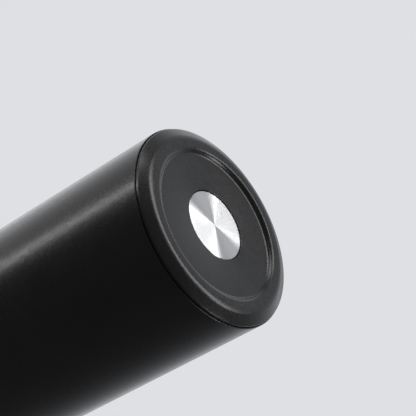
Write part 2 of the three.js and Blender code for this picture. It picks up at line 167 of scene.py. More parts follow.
class Shape:
    """A closed mesh under construction."""

    def __init__(self) -> None:
        """Start with an empty mesh."""
        self.bm = bmesh.new()

    @classmethod
    def turned(cls, corners: Sequence[Corner], steps: int = ROUND_STEPS, row: float = 0.0) -> "Shape":
        """Turn an outline about the flask's axis.

        Args:
            corners: The outline. It closes on itself unless both of its ends lie on the axis.
            steps: Number of facets round the axis.
            row: Longest stretch left unsplit in the outline; 0 splits nothing.

        Returns:
            The closed shape.
        """
        shape = cls()
        shape._draw(corners, row)
        geometry = shape.bm.verts[:] + shape.bm.edges[:]
        bmesh.ops.spin(
            shape.bm, geom=geometry, cent=(0, 0, 0), axis=(0, 0, 1), dvec=(0, 0, 0),
            angle=TURN, steps=steps, use_merge=True, use_duplicate=False,
        )
        return shape.closed()

    @classmethod
    def sector(cls, corners: Sequence[Corner], first: float, sweep: float, steps: int) -> "Shape":
        """Turn an outline through part of a turn and cap both ends.

        Args:
            corners: The closed outline.
            first: Direction in which the sector begins, in radians.
            sweep: Angle that it covers.
            steps: Number of facets along it.

        Returns:
            The closed shape.
        """
        shape = cls()
        shape._draw(corners, 0.0)
        face = bmesh.ops.contextual_create(shape.bm, geom=shape.bm.edges[:])["faces"]
        turn = Matrix.Rotation(first, 4, "Z")
        bmesh.ops.transform(shape.bm, matrix=turn, verts=shape.bm.verts[:])
        bmesh.ops.spin(
            shape.bm, geom=face, cent=(0, 0, 0), axis=(0, 0, 1), dvec=(0, 0, 0),
            angle=sweep, steps=steps, use_merge=False, use_duplicate=False,
        )
        return shape.closed()

    @classmethod
    def box(cls, low: Vector, high: Vector, bevel: float) -> "Shape":
        """Make a block with rounded edges.

        Args:
            low: Its lowest corner.
            high: Its highest corner.
            bevel: Radius of its edges.

        Returns:
            The closed shape.
        """
        shape = cls()
        size = high - low
        place = Matrix.Translation((low + high) / 2) @ Matrix.Diagonal((*size, 1))
        bmesh.ops.create_cube(shape.bm, size=1, matrix=place)
        shape.bevel(shape.bm.edges[:], bevel, segments=4)
        return shape

    def _draw(self, corners: Sequence[Corner], row: float) -> None:
        """Draw an outline as wire edges, round its corners and split its long stretches.

        Args:
            corners: The outline.
            row: Longest stretch left unsplit; 0 splits nothing.
        """
        verts = [self.bm.verts.new((c.radius, 0, c.height)) for c in corners]
        pairs = list(zip(verts, verts[1:]))
        if corners[0].radius > 0 or corners[-1].radius > 0:
            pairs.append((verts[-1], verts[0]))
        for pair in pairs:
            self.bm.edges.new(pair)
        for corner, vert in zip(corners, verts):
            if corner.fillet > 0:
                self._round(vert, corner.fillet)
        if row > 0:
            for edge in self.bm.edges[:]:
                cuts = math.ceil(edge.calc_length() / row) - 1
                if cuts > 0:
                    bmesh.ops.subdivide_edges(self.bm, edges=[edge], cuts=cuts)

    def _round(self, vert: bmesh.types.BMVert, fillet: float) -> None:
        """Round one corner of the wire outline.

        Args:
            vert: The corner.
            fillet: Radius of the arc that takes its place.
        """
        ways = [(edge.other_vert(vert).co - vert.co).normalized() for edge in vert.link_edges]
        half = ways[0].angle(ways[1]) / 2
        fewest, most = ARC_FACETS
        segments = min(max(round(fillet / ARC_STEP), fewest), most)
        bmesh.ops.bevel(
            self.bm, geom=[vert], offset=fillet / math.tan(half), offset_type="OFFSET",
            segments=segments, profile=0.5, affect="VERTICES", material=-1, clamp_overlap=False,
        )

    def closed(self) -> "Shape":
        """Merge doubled corners, such as those at a pole, and turn all faces outwards."""
        bmesh.ops.remove_doubles(self.bm, verts=self.bm.verts[:], dist=MERGE_REACH)
        bmesh.ops.recalc_face_normals(self.bm, faces=self.bm.faces[:])
        return self

    def bevel(self, edges: list[bmesh.types.BMEdge], width: float, segments: int = 3) -> "Shape":
        """Round some edges.

        Args:
            edges: The edges.
            width: Radius of the round.
            segments: Number of facets across it.

        Returns:
            The same shape.
        """
        bmesh.ops.bevel(
            self.bm, geom=edges, offset=width, offset_type="OFFSET", segments=segments,
            profile=0.5, affect="EDGES", material=-1, clamp_overlap=True,
        )
        return self

    def reshape(self, move: Callable[[float, float, float], tuple[float, float]]) -> "Shape":
        """Move each point to a new radius and height.

        Args:
            move: Takes a point's radius, angle and height, and gives its new radius and height.

        Returns:
            The same shape.
        """
        for vert in self.bm.verts:
            radius = math.hypot(vert.co.x, vert.co.y)
            if radius < POINT_REACH:
                continue
            angle = math.atan2(vert.co.y, vert.co.x)
            new_radius, height = move(radius, angle, vert.co.z)
            vert.co = (new_radius * math.cos(angle), new_radius * math.sin(angle), height)
        return self

    def roll(self, thread: Thread, low: float, high: float, rise: float) -> "Shape":
        """Press a thread into the walls that lie between two radii.

        Args:
            thread: The thread.
            low: Smallest radius that it moves.
            high: Largest radius that it moves.
            rise: How far the ridge stands out; below 0 it stands inwards.

        Returns:
            The same shape.
        """
        def move(radius: float, angle: float, height: float) -> tuple[float, float]:
            """Lift a point of the wall by the thread's height there."""
            if low <= radius <= high:
                radius += rise * thread.lift(angle, height)
            return radius, height

        return self.reshape(move)

    def moved(self, offset: Vector) -> "Shape":
        """Shift the whole shape."""
        bmesh.ops.translate(self.bm, vec=offset, verts=self.bm.verts[:])
        return self

    def cut(self, cutters: Iterable["Shape"]) -> "Shape":
        """Cut other shapes out of this one, and use them up.

        Args:
            cutters: The shapes to take away.

        Returns:
            The same shape, cut.
        """
        body = self._as_object("blank")
        for cutter in cutters:
            tool = cutter._as_object("cutter")
            step = body.modifiers.new("cut", "BOOLEAN")
            step.operation = "DIFFERENCE"
            step.solver = "EXACT"
            step.object = tool
            view = bpy.context.evaluated_depsgraph_get()
            result = bpy.data.meshes.new_from_object(body.evaluated_get(view))
            body.modifiers.clear()
            body.data = result
            bpy.data.objects.remove(tool)
        self.bm = bmesh.new()
        self.bm.from_mesh(body.data)
        bpy.data.objects.remove(body)
        return self

    def _as_object(self, name: str) -> bpy.types.Object:
        """Write the shape to a passing object, for a cut.

        Args:
            name: Name of the object.

        Returns:
            The object, linked to the scene.
        """
        mesh = bpy.data.meshes.new(name)
        self.bm.to_mesh(mesh)
        self.bm.free()
        made = bpy.data.objects.new(name, mesh)
        bpy.context.scene.collection.objects.link(made)
        return made

    def write(self, name: str) -> bpy.types.Object:
        """Write the shape to its final object, with smooth faces and crisp edges.

        Args:
            name: Name of the piece.

        Returns:
            The object, at the origin.
        """
        for face in self.bm.faces:
            face.smooth = True
        for edge in self.bm.edges:
            if len(edge.link_faces) == 2:
                edge.smooth = edge.calc_face_angle(0.0) < SHARP_ANGLE
        mesh = bpy.data.meshes.new(name)
        self.bm.to_mesh(mesh)
        self.bm.free()
        made = bpy.data.objects.new(name, mesh)
        bpy.context.scene.collection.objects.link(made)
        return made


# ---------------------------------------------------------------- finishes

Colour = tuple[float, float, float]


class Recipe:
    """A material under construction: one Principled shader and what feeds it."""

    def __init__(self, name: str, **sockets: float | Colour) -> None:
        """Start a material.

        Args:
            name: Name of the material.
            sockets: Values for the shader's own sockets, with _ for a space in their names.
        """
        self.material = bpy.data.materials.new(name)
        self.material.use_nodes = True
        self.tree = self.material.node_tree
        self.tree.nodes.clear()
        self.shader = self.add("ShaderNodeBsdfPrincipled")
        self.output = self.add("ShaderNodeOutputMaterial")
        self.join(self.shader.outputs["BSDF"], self.output.inputs["Surface"])
        for key, value in sockets.items():
            socket = self.shader.inputs[key.replace("_", " ")]
            socket.default_value = (*value, 1.0) if isinstance(value, tuple) else value

    def add(self, kind: str, **settings: object) -> bpy.types.Node:
        """Add a node.

        Args:
            kind: Its Blender type.
            settings: Its properties.

        Returns:
            The node.
        """
        node = self.tree.nodes.new(kind)
        for key, value in settings.items():
            setattr(node, key, value)
        return node

    def join(self, source: bpy.types.NodeSocket, target: bpy.types.NodeSocket) -> None:
        """Feed one socket into another."""
        self.tree.links.new(source, target)

    def math(self, operation: str, *terms: bpy.types.NodeSocket | float) -> bpy.types.NodeSocket:
        """Add a Math node.

        Args:
            operation: Name of the operation.
            terms: Its inputs, each a socket or a number.

        Returns:
            Its output.
        """
        node = self.add("ShaderNodeMath", operation=operation)
        for slot, term in zip(node.inputs, terms):
            if isinstance(term, (int, float)):
                slot.default_value = term
            else:
                self.join(term, slot)
        return node.outputs[0]

    def place(self) -> bpy.types.NodeSocket:
        """Return the point on the piece, in metres."""
        return self.add("ShaderNodeTexCoord").outputs["Object"]

    def around(self, across: float, along: float) -> bpy.types.NodeSocket:
        """Make coordinates for marks that run round the flask's axis.

        Args:
            across: How fast the pattern changes with radius and height, per metre.
            along: How fast it changes round the axis; 0 makes whole rings.

        Returns:
            A vector for a noise texture.
        """
        split = self.add("ShaderNodeSeparateXYZ")
        self.join(self.place(), split.inputs[0])
        x, y, z = split.outputs
        squares = self.math("MULTIPLY", x, x), self.math("MULTIPLY", y, y)
        radius = self.math("SQRT", self.math("ADD", *squares))
        safe = self.math("MAXIMUM", radius, SMALLEST_RADIUS)
        vector = self.add("ShaderNodeCombineXYZ")
        self.join(self.math("MULTIPLY", self.math("DIVIDE", x, safe), along), vector.inputs[0])
        self.join(self.math("MULTIPLY", self.math("DIVIDE", y, safe), along), vector.inputs[1])
        self.join(self.math("MULTIPLY", self.math("ADD", radius, z), across), vector.inputs[2])
        return vector.outputs[0]

    def noise(self, where: bpy.types.NodeSocket, scale: float, detail: float = 3.0) -> bpy.types.NodeSocket:
        """Add a noise texture.

        Args:
            where: Coordinates.
            scale: Cells per unit of the coordinates.
            detail: Octaves.

        Returns:
            Its value, from 0 to 1.
        """
        node = self.add("ShaderNodeTexNoise")
        self.join(where, node.inputs["Vector"])
        node.inputs["Scale"].default_value = scale
        node.inputs["Detail"].default_value = detail
        return node.outputs["Fac"]

    def cells(self, where: bpy.types.NodeSocket, scale: float) -> bpy.types.NodeSocket:
        """Add a Voronoi texture and return the distance to the nearest cell's middle."""
        node = self.add("ShaderNodeTexVoronoi")
        self.join(where, node.inputs["Vector"])
        node.inputs["Scale"].default_value = scale
        return node.outputs["Distance"]

    def spread(self, source: bpy.types.NodeSocket, low: float, high: float) -> bpy.types.NodeSocket:
        """Stretch the middle of a noise's range to a new range.

        Args:
            source: The noise.
            low: Value where the noise is low.
            high: Value where it is high.

        Returns:
            The stretched value.
        """
        node = self.add("ShaderNodeMapRange")
        self.join(source, node.inputs["Value"])
        limits = {"From Min": NOISE_LOW, "From Max": NOISE_HIGH, "To Min": low, "To Max": high}
        for key, value in limits.items():
            node.inputs[key].default_value = value
        return node.outputs["Result"]

    def tint(self, share: bpy.types.NodeSocket, dark: Colour, light: Colour) -> None:
        """Colour the shader between two shades.

        Args:
            share: 0 for the dark shade, 1 for the light one.
            dark: The dark shade.
            light: The light shade.
        """
        node = self.add("ShaderNodeMix", data_type="RGBA")
        self.join(share, node.inputs["Factor"])
        node.inputs[MIX_DARK].default_value = (*dark, 1.0)
        node.inputs[MIX_LIGHT].default_value = (*light, 1.0)
        self.join(node.outputs[MIX_RESULT], self.shader.inputs["Base Color"])

    def roughness(self, value: bpy.types.NodeSocket) -> None:
        """Feed the shader's roughness."""
        self.join(value, self.shader.inputs["Roughness"])

    def bump(self, height: bpy.types.NodeSocket, depth: float, strength: float = 1.0,
             below: bpy.types.NodeSocket | None = None) -> bpy.types.NodeSocket:
        """Add relief to the shader's normal.

        Args:
            height: Relief, from 0 to 1.
            depth: What a height of 1 stands for, in metres.
            strength: Share of the relief that is used.
            below: Normal of a coarser relief that this one lies on.

        Returns:
            The new normal.
        """
        node = self.add("ShaderNodeBump")
        node.inputs["Strength"].default_value = strength
        node.inputs["Distance"].default_value = depth
        self.join(height, node.inputs["Height"])
        if below is not None:
            self.join(below, node.inputs["Normal"])
        self.join(node.outputs[0], self.shader.inputs["Normal"])
        return node.outputs[0]


@dataclass(frozen=True)
class SatinPaint:
    """Baked powder coat: a fine, even grain under a satin film."""

    name: str = "black_powder_coat"
    dark: Colour = (0.0085, 0.0085, 0.0094)
    light: Colour = (0.0115, 0.0115, 0.0126)
    rough_low: float = 0.25
    rough_high: float = 0.29
    grain: float = 3200.0
    grain_depth: float = 0.0003 * MM
    flow: float = 420.0
    flow_depth: float = 0.0006 * MM
    clouds: float = 70.0

    def material(self) -> bpy.types.Material:
        """Build the material."""
        paint = Recipe(self.name, IOR=1.5)
        where = paint.place()
        clouds = paint.noise(where, self.clouds)
        paint.tint(paint.spread(clouds, 0.0, 1.0), self.dark, self.light)
        paint.roughness(paint.spread(paint.noise(where, self.flow), self.rough_low, self.rough_high))
        film = paint.bump(paint.noise(where, self.flow, detail=1.0), self.flow_depth)
        paint.bump(paint.noise(where, self.grain, detail=2.0), self.grain_depth, below=film)
        return paint.material


@dataclass(frozen=True)
class TurnedSteel:
    """Stainless steel with the fine marks of a brush that ran round it."""

    name: str = "brushed_steel"
    dark: Colour = (0.50, 0.50, 0.51)
    light: Colour = (0.62, 0.62, 0.63)
    rough_low: float = 0.24
    rough_high: float = 0.36
    marks: float = 3500.0
    drift: float = 5.0
    depth: float = 0.003 * MM
    clouds: float = 60.0

    def material(self) -> bpy.types.Material:
        """Build the material."""
        steel = Recipe(self.name, Metallic=1.0)
        streaks = steel.noise(steel.around(self.marks, self.drift), scale=1.0, detail=4.0)
        clouds = steel.noise(steel.place(), self.clouds)
        steel.tint(steel.spread(clouds, 0.0, 1.0), self.dark, self.light)
        steel.roughness(steel.spread(streaks, self.rough_low, self.rough_high))
        steel.bump(streaks, self.depth)
        return steel.material


@dataclass(frozen=True)
class Sunray:
    """Aluminium turned so that its light lies in rays from the centre."""

    name: str = "sunray_aluminium"
    dark: Colour = (0.84, 0.84, 0.85)
    light: Colour = (1.0, 1.0, 1.0)
    rough_low: float = 0.31
    rough_high: float = 0.37
    stretch: float = 1.0
    turned: float = 0.25
    rays: float = 34.0
    rings: float = 9000.0
    ring_drift: float = 0.6
    depth: float = 0.0012 * MM

    def material(self) -> bpy.types.Material:
        """Build the material."""
        disc = Recipe(
            self.name, Metallic=1.0, Anisotropic=self.stretch, Anisotropic_Rotation=self.turned,
        )
        tangent = disc.add("ShaderNodeTangent", direction_type="RADIAL", axis="Z")
        disc.join(tangent.outputs[0], disc.shader.inputs["Tangent"])
        rays = disc.noise(disc.around(0.0, self.rays), scale=1.0, detail=5.0)
        rings = disc.noise(disc.around(self.rings, self.ring_drift), scale=1.0, detail=2.0)
        disc.tint(disc.spread(rays, 0.0, 1.0), self.dark, self.light)
        disc.roughness(disc.spread(rays, self.rough_low, self.rough_high))
        disc.bump(rings, self.depth)
        return disc.material


@dataclass(frozen=True)
class Moulded:
    """Moulded plastic with a fine spark-eroded grain."""

    name: str
    dark: Colour
    light: Colour
    rough_low: float = 0.42
    rough_high: float = 0.54
    clouds: float = 90.0
    gloss: float = 700.0
    grain: float = 2600.0
    depth: float = 0.010 * MM

    def material(self) -> bpy.types.Material:
        """Build the material."""
        plastic = Recipe(self.name, IOR=1.46)
        where = plastic.place()
        clouds = plastic.noise(where, self.clouds)
        plastic.tint(plastic.spread(clouds, 0.0, 1.0), self.dark, self.light)
        gloss = plastic.noise(where, self.gloss)
        plastic.roughness(plastic.spread(gloss, self.rough_low, self.rough_high))
        plastic.bump(plastic.cells(where, self.grain), self.depth)
        return plastic.material


@dataclass(frozen=True)
class Silicone:
    """Moulded silicone rubber, dull and a little cloudy."""

    name: str
    dark: Colour
    light: Colour
    clearness: float = 0.0
    rough_low: float = 0.42
    rough_high: float = 0.6
    clouds: float = 250.0
    gloss: float = 1800.0
    grain: float = 1500.0
    depth: float = 0.008 * MM

    def material(self) -> bpy.types.Material:
        """Build the material."""
        rubber = Recipe(self.name, IOR=1.41, Transmission_Weight=self.clearness)
        where = rubber.place()
        clouds = rubber.noise(where, self.clouds)
        rubber.tint(rubber.spread(clouds, 0.0, 1.0), self.dark, self.light)
        gloss = rubber.noise(where, self.gloss)
        rubber.roughness(rubber.spread(gloss, self.rough_low, self.rough_high))
        rubber.bump(rubber.noise(where, self.grain, detail=2.0), self.depth)
        return rubber.material


@dataclass(frozen=True)
class CopperFoil:
    """Thin copper foil, creased from being wrapped by hand."""

    name: str = "copper_foil"
    dark: Colour = (0.70, 0.34, 0.20)
    light: Colour = (0.86, 0.46, 0.28)
    rough_low: float = 0.18
    rough_high: float = 0.34
    clouds: float = 60.0
    gloss: float = 400.0
    creases: float = 90.0
    crease_depth: float = 0.25 * MM
    wrinkles: float = 500.0
    wrinkle_depth: float = 0.03 * MM

    def material(self) -> bpy.types.Material:
        """Build the material."""
        foil = Recipe(self.name, Metallic=1.0)
        where = foil.place()
        foil.tint(foil.spread(foil.noise(where, self.clouds), 0.0, 1.0), self.dark, self.light)
        gloss = foil.noise(where, self.gloss)
        foil.roughness(foil.spread(gloss, self.rough_low, self.rough_high))
        creases = foil.bump(foil.cells(where, self.creases), self.crease_depth)
        foil.bump(foil.noise(where, self.wrinkles), self.wrinkle_depth, below=creases)
        return foil.material


@dataclass(frozen=True)
class Foam:
    """Closed-cell white foam, cut from a block."""

    name: str = "white_foam"
    dark: Colour = (0.66, 0.64, 0.58)
    light: Colour = (0.85, 0.83, 0.77)
    rough_low: float = 0.8
    rough_high: float = 0.95
    beads: float = 420.0
    depth: float = 0.25 * MM

    def material(self) -> bpy.types.Material:
        """Build the material."""
        foam = Recipe(self.name, IOR=1.4)
        beads = foam.cells(foam.place(), self.beads)
        foam.tint(foam.spread(beads, 1.0, 0.0), self.dark, self.light)
        foam.roughness(foam.spread(beads, self.rough_low, self.rough_high))
        foam.bump(beads, self.depth)
        return foam.material


@dataclass(frozen=True)
class SealGlass:
    """Dark solder glass, melted to a glossy bead with a few bubbles."""

    name: str = "seal_glass"
    dark: Colour = (0.015, 0.04, 0.032)
    light: Colour = (0.05, 0.10, 0.085)
    rough_low: float = 0.06
    rough_high: float = 0.2
    swirls: float = 500.0
    bubbles: float = 900.0
    depth: float = 0.05 * MM

    def material(self) -> bpy.types.Material:
        """Build the material."""
        glass = Recipe(self.name, IOR=1.6, Coat_Weight=0.5)
        where = glass.place()
        swirl = glass.noise(where, self.swirls)
        glass.tint(glass.spread(swirl, 0.0, 1.0), self.dark, self.light)
        glass.roughness(glass.spread(swirl, self.rough_low, self.rough_high))
        glass.bump(glass.noise(where, self.bubbles), self.depth)
        return glass.material


@dataclass(frozen=True)
class PressedPowder:
    """Grey getter metal, pressed from powder and dull from the firing."""

    name: str = "getter_metal"
    dark: Colour = (0.16, 0.16, 0.17)
    light: Colour = (0.30, 0.30, 0.31)
    rough_low: float = 0.5
    rough_high: float = 0.75
    grains: float = 2600.0
    depth: float = 0.06 * MM

    def material(self) -> bpy.types.Material:
        """Build the material."""
        powder = Recipe(self.name, Metallic=0.9)
        grains = powder.noise(powder.place(), self.grains, detail=4.0)
        powder.tint(powder.spread(grains, 0.0, 1.0), self.dark, self.light)
        powder.roughness(powder.spread(grains, self.rough_low, self.rough_high))
        powder.bump(grains, self.depth)
        return powder.material


@dataclass(frozen=True)
class GlueFilm:
    """Yellowish transfer tape with its fine weave showing through."""

    name: str = "glue_film"
    dark: Colour = (0.55, 0.52, 0.42)
    light: Colour = (0.68, 0.65, 0.56)
    rough_low: float = 0.5
    rough_high: float = 0.7
    weave: float = 1400.0
    depth: float = 0.03 * MM

    def material(self) -> bpy.types.Material:
        """Build the material."""
        film = Recipe(self.name, IOR=1.47, Transmission_Weight=0.15)
        weave = film.noise(film.place(), self.weave, detail=1.0)
        film.tint(film.spread(weave, 0.0, 1.0), self.dark, self.light)
        film.roughness(film.spread(weave, self.rough_low, self.rough_high))
        film.bump(weave, self.depth)
        return film.material


class Slot(Enum):
    """The record's material slots, each with the finish that it stands for."""

    BLACK_PAINT = ("black_paint", SatinPaint())
    STEEL = ("steel", TurnedSteel())
    SUNRAY = ("sunray", Sunray())
    COPPER = ("copper", CopperFoil())
    BLACK_PLASTIC = (
        "black_plastic", Moulded("black_plastic", (0.012, 0.012, 0.013), (0.020, 0.020, 0.022)),
    )
    GREY_PLASTIC = (
        "grey_plastic", Moulded("grey_plastic", (0.065, 0.067, 0.074), (0.090, 0.093, 0.102)),
    )
    CLEAR_SILICONE = (
        "clear_silicone",
        Silicone("clear_silicone", (0.60, 0.60, 0.57), (0.74, 0.74, 0.72), clearness=0.25),
    )
    BLACK_SILICONE = (
        "black_silicone", Silicone("black_silicone", (0.014, 0.014, 0.015), (0.022, 0.022, 0.024)),
    )
    FOAM = ("foam", Foam())
    SEAL_GLASS = ("seal_glass", SealGlass())
    SPRING_STEEL = (
        "spring_steel",
        TurnedSteel("spring_steel", (0.42, 0.42, 0.43), (0.52, 0.52, 0.53),
                    rough_low=0.2, rough_high=0.34, marks=5000.0),
    )
    GETTER_METAL = ("getter_metal", PressedPowder())
    PAD_FILM = ("pad_film", GlueFilm())


class Body(Enum):
    """The bodies that move as one."""

    FLASK = "flask"
    STOPPER_SEAT = "stopper_seat"
    STOPPER = "stopper"
    BUTTON = "button"
    CUP_SEAT = "cup_seat"
    CUP = "cup"


@dataclass
class Workshop:
    """Turns shapes into finished pieces, and makes each finish only once."""

    materials: dict[Slot, bpy.types.Material] = field(default_factory=dict)
    pieces: list[str] = field(default_factory=list)

    def dress(self, shape: Shape, name: str, node: str, body: Body, slot: Slot) -> bpy.types.Object:
        """Write a shape as a piece that stands for a CAD node.

        Args:
            shape: The shape.
            name: Name of the piece.
            node: The CAD node that it stands for.
            body: The body that it rides on.
            slot: The finish that it takes.

        Returns:
            The finished piece.
        """
        key, finish = slot.value
        if slot not in self.materials:
            self.materials[slot] = finish.material()
        piece = shape.write(name)
        piece.data.materials.append(self.materials[slot])
        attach(piece, body.value)
        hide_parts(node)
        self.pieces.append(name)
        LOG.info("%s: %d faces, on %s, in %s", name, len(piece.data.polygons), body.value, key)
        return piece


# ---------------------------------------------------------------- body

@dataclass
class PaintedBody:
    """The painted tube, its threaded neck and the cover over its base."""

    shop: Workshop
    shoulder: float = 1.5 * MM
    rim_round: float = 0.18 * MM
    base_round: float = 0.15 * MM
    edge_height: float = 3 * MM
    slope_height: float = 2.2 * MM
    edge_fillet: float = 0.3 * MM
    shoulder_width: float = 3.9 * MM
    ring_width: float = 4 * MM
    recess_slope: float = 1.2 * MM
    recess_depth: float = 1.35 * MM
    cover_wall: float = 0.8 * MM
    floor_round: float = 1.5 * MM
    step_round: float = 1.6 * MM
    ring_round: float = 4 * MM
    press_round: float = 1.6 * MM
    pocket_round: float = 0.6 * MM
    seam_round: float = 0.02 * MM
    thread_rise: float = 1.2 * MM
    thread_row: float = 0.32 * MM

    def build(self) -> None:
        """Make the tube, the neck and the base cover."""
        self.tube()
        self.neck()
        self.cover()

    def tube(self) -> None:
        """Turn the tube, with the shelf that the cup stands on."""
        tube = Extent.of("outer_shell")
        hole = Extent.of("neck_sleeve").radius - NECK_FOOT + FIT_GAP
        bore = tube.radius - SHELL_WALL
        under = tube.top - SHELL_WALL
        shape = Shape.turned([
            Corner(tube.radius, tube.bottom, self.base_round),
            Corner(tube.radius, tube.top, self.shoulder),
            Corner(hole, tube.top, self.rim_round),
            Corner(hole, under),
            Corner(bore, under, self.shoulder - SHELL_WALL),
            Corner(bore, tube.bottom, self.rim_round / 3),
        ])
        self.shop.dress(shape, "painted_tube", "outer_shell", Body.FLASK, Slot.BLACK_PAINT)

    def neck(self) -> None:
        """Turn the steel neck and roll the cup's thread into it."""
        neck = Extent.of("neck_sleeve")
        shelf = Extent.of("outer_shell").top
        outer = neck.radius - NECK_FOOT
        bore = outer - SHELL_WALL
        foot_top = shelf - SHELL_WALL - SEAT_GAP
        shape = Shape.turned([
            Corner(outer, foot_top, SHELL_WALL),
            Corner(outer, neck.top, self.rim_round),
            Corner(bore, neck.top, self.rim_round),
            Corner(bore, neck.bottom, 2 * SHELL_WALL),
            Corner(neck.radius, neck.bottom, self.rim_round),
            Corner(neck.radius, foot_top, self.rim_round),
        ], row=self.thread_row)
        shape.roll(Thread(shelf + THREAD_START), bore - self.rim_round, outer + self.rim_round,
                   self.thread_rise)
        self.shop.dress(shape, "thread_neck", "neck_sleeve", Body.FLASK, Slot.STEEL)

    def cover(self) -> None:
        """Turn the base cover: sloped shoulder, flat ring, recess, and the disc's pocket."""
        disc = Extent.of("base_disc")
        cover = Extent.of("base_cover")
        pocket_top = Extent.of("disc_pad").top + SEAT_GAP
        spigot = Extent.of("outer_shell").radius - SHELL_WALL - FIT_GAP
        ring_outer = cover.radius - self.shoulder_width
        ring_inner = ring_outer - self.ring_width
        floor = ring_inner - self.recess_slope
        pocket = disc.radius + FIT_GAP
        wall = self.cover_wall
        inside = spigot - wall
        shape = Shape.turned([
            Corner(0, pocket_top),
            Corner(pocket, pocket_top, EDGE),
            Corner(pocket, self.recess_depth, EDGE),
            Corner(floor, self.recess_depth, self.floor_round),
            Corner(ring_inner, 0, self.step_round),
            Corner(ring_outer, 0, self.ring_round),
            Corner(cover.radius, self.slope_height, self.edge_fillet),
            Corner(cover.radius, self.edge_height),
            Corner(spigot, self.edge_height, self.seam_round),
            Corner(spigot, cover.top, EDGE),
            Corner(inside, cover.top, EDGE),
            Corner(inside, self.edge_height + wall, self.press_round),
            Corner(ring_outer, wall, self.press_round),
            Corner(ring_inner + wall, wall, FULL_EDGE),
            Corner(floor + wall, self.recess_depth + wall, FULL_EDGE),
            Corner(pocket + wall, self.recess_depth + wall, SOFT_EDGE),
            Corner(pocket + wall, pocket_top + wall, self.pocket_round),
            Corner(0, pocket_top + wall),
        ])
        self.shop.dress(shape, "ring_base", "base_cover", Body.FLASK, Slot.BLACK_PAINT)


@dataclass
class BaseDisc:
    """The sunray disc in the middle of the base, and the film that holds it."""

    shop: Workshop
    edge_round: float = 0.14 * MM
    film_round: float = 0.05 * MM

    def build(self) -> None:
        """Make the disc and its film."""
        disc = Extent.of("base_disc")
        shape = Shape.turned([
            Corner(0, disc.bottom),
            Corner(disc.radius, disc.bottom, self.edge_round),
            Corner(disc.radius, disc.top, self.edge_round),
            Corner(0, disc.top),
        ])
        self.shop.dress(shape, "sunray_disc", "base_disc", Body.FLASK, Slot.SUNRAY)
        pad = Extent.of("disc_pad")
        film = Shape.turned([
            Corner(0, pad.bottom), Corner(pad.radius, pad.bottom, self.film_round),
            Corner(pad.radius, pad.top, self.film_round), Corner(0, pad.top),
        ], SMALL_STEPS)
        self.shop.dress(film, "disc_film", "disc_pad", Body.FLASK, Slot.PAD_FILM)


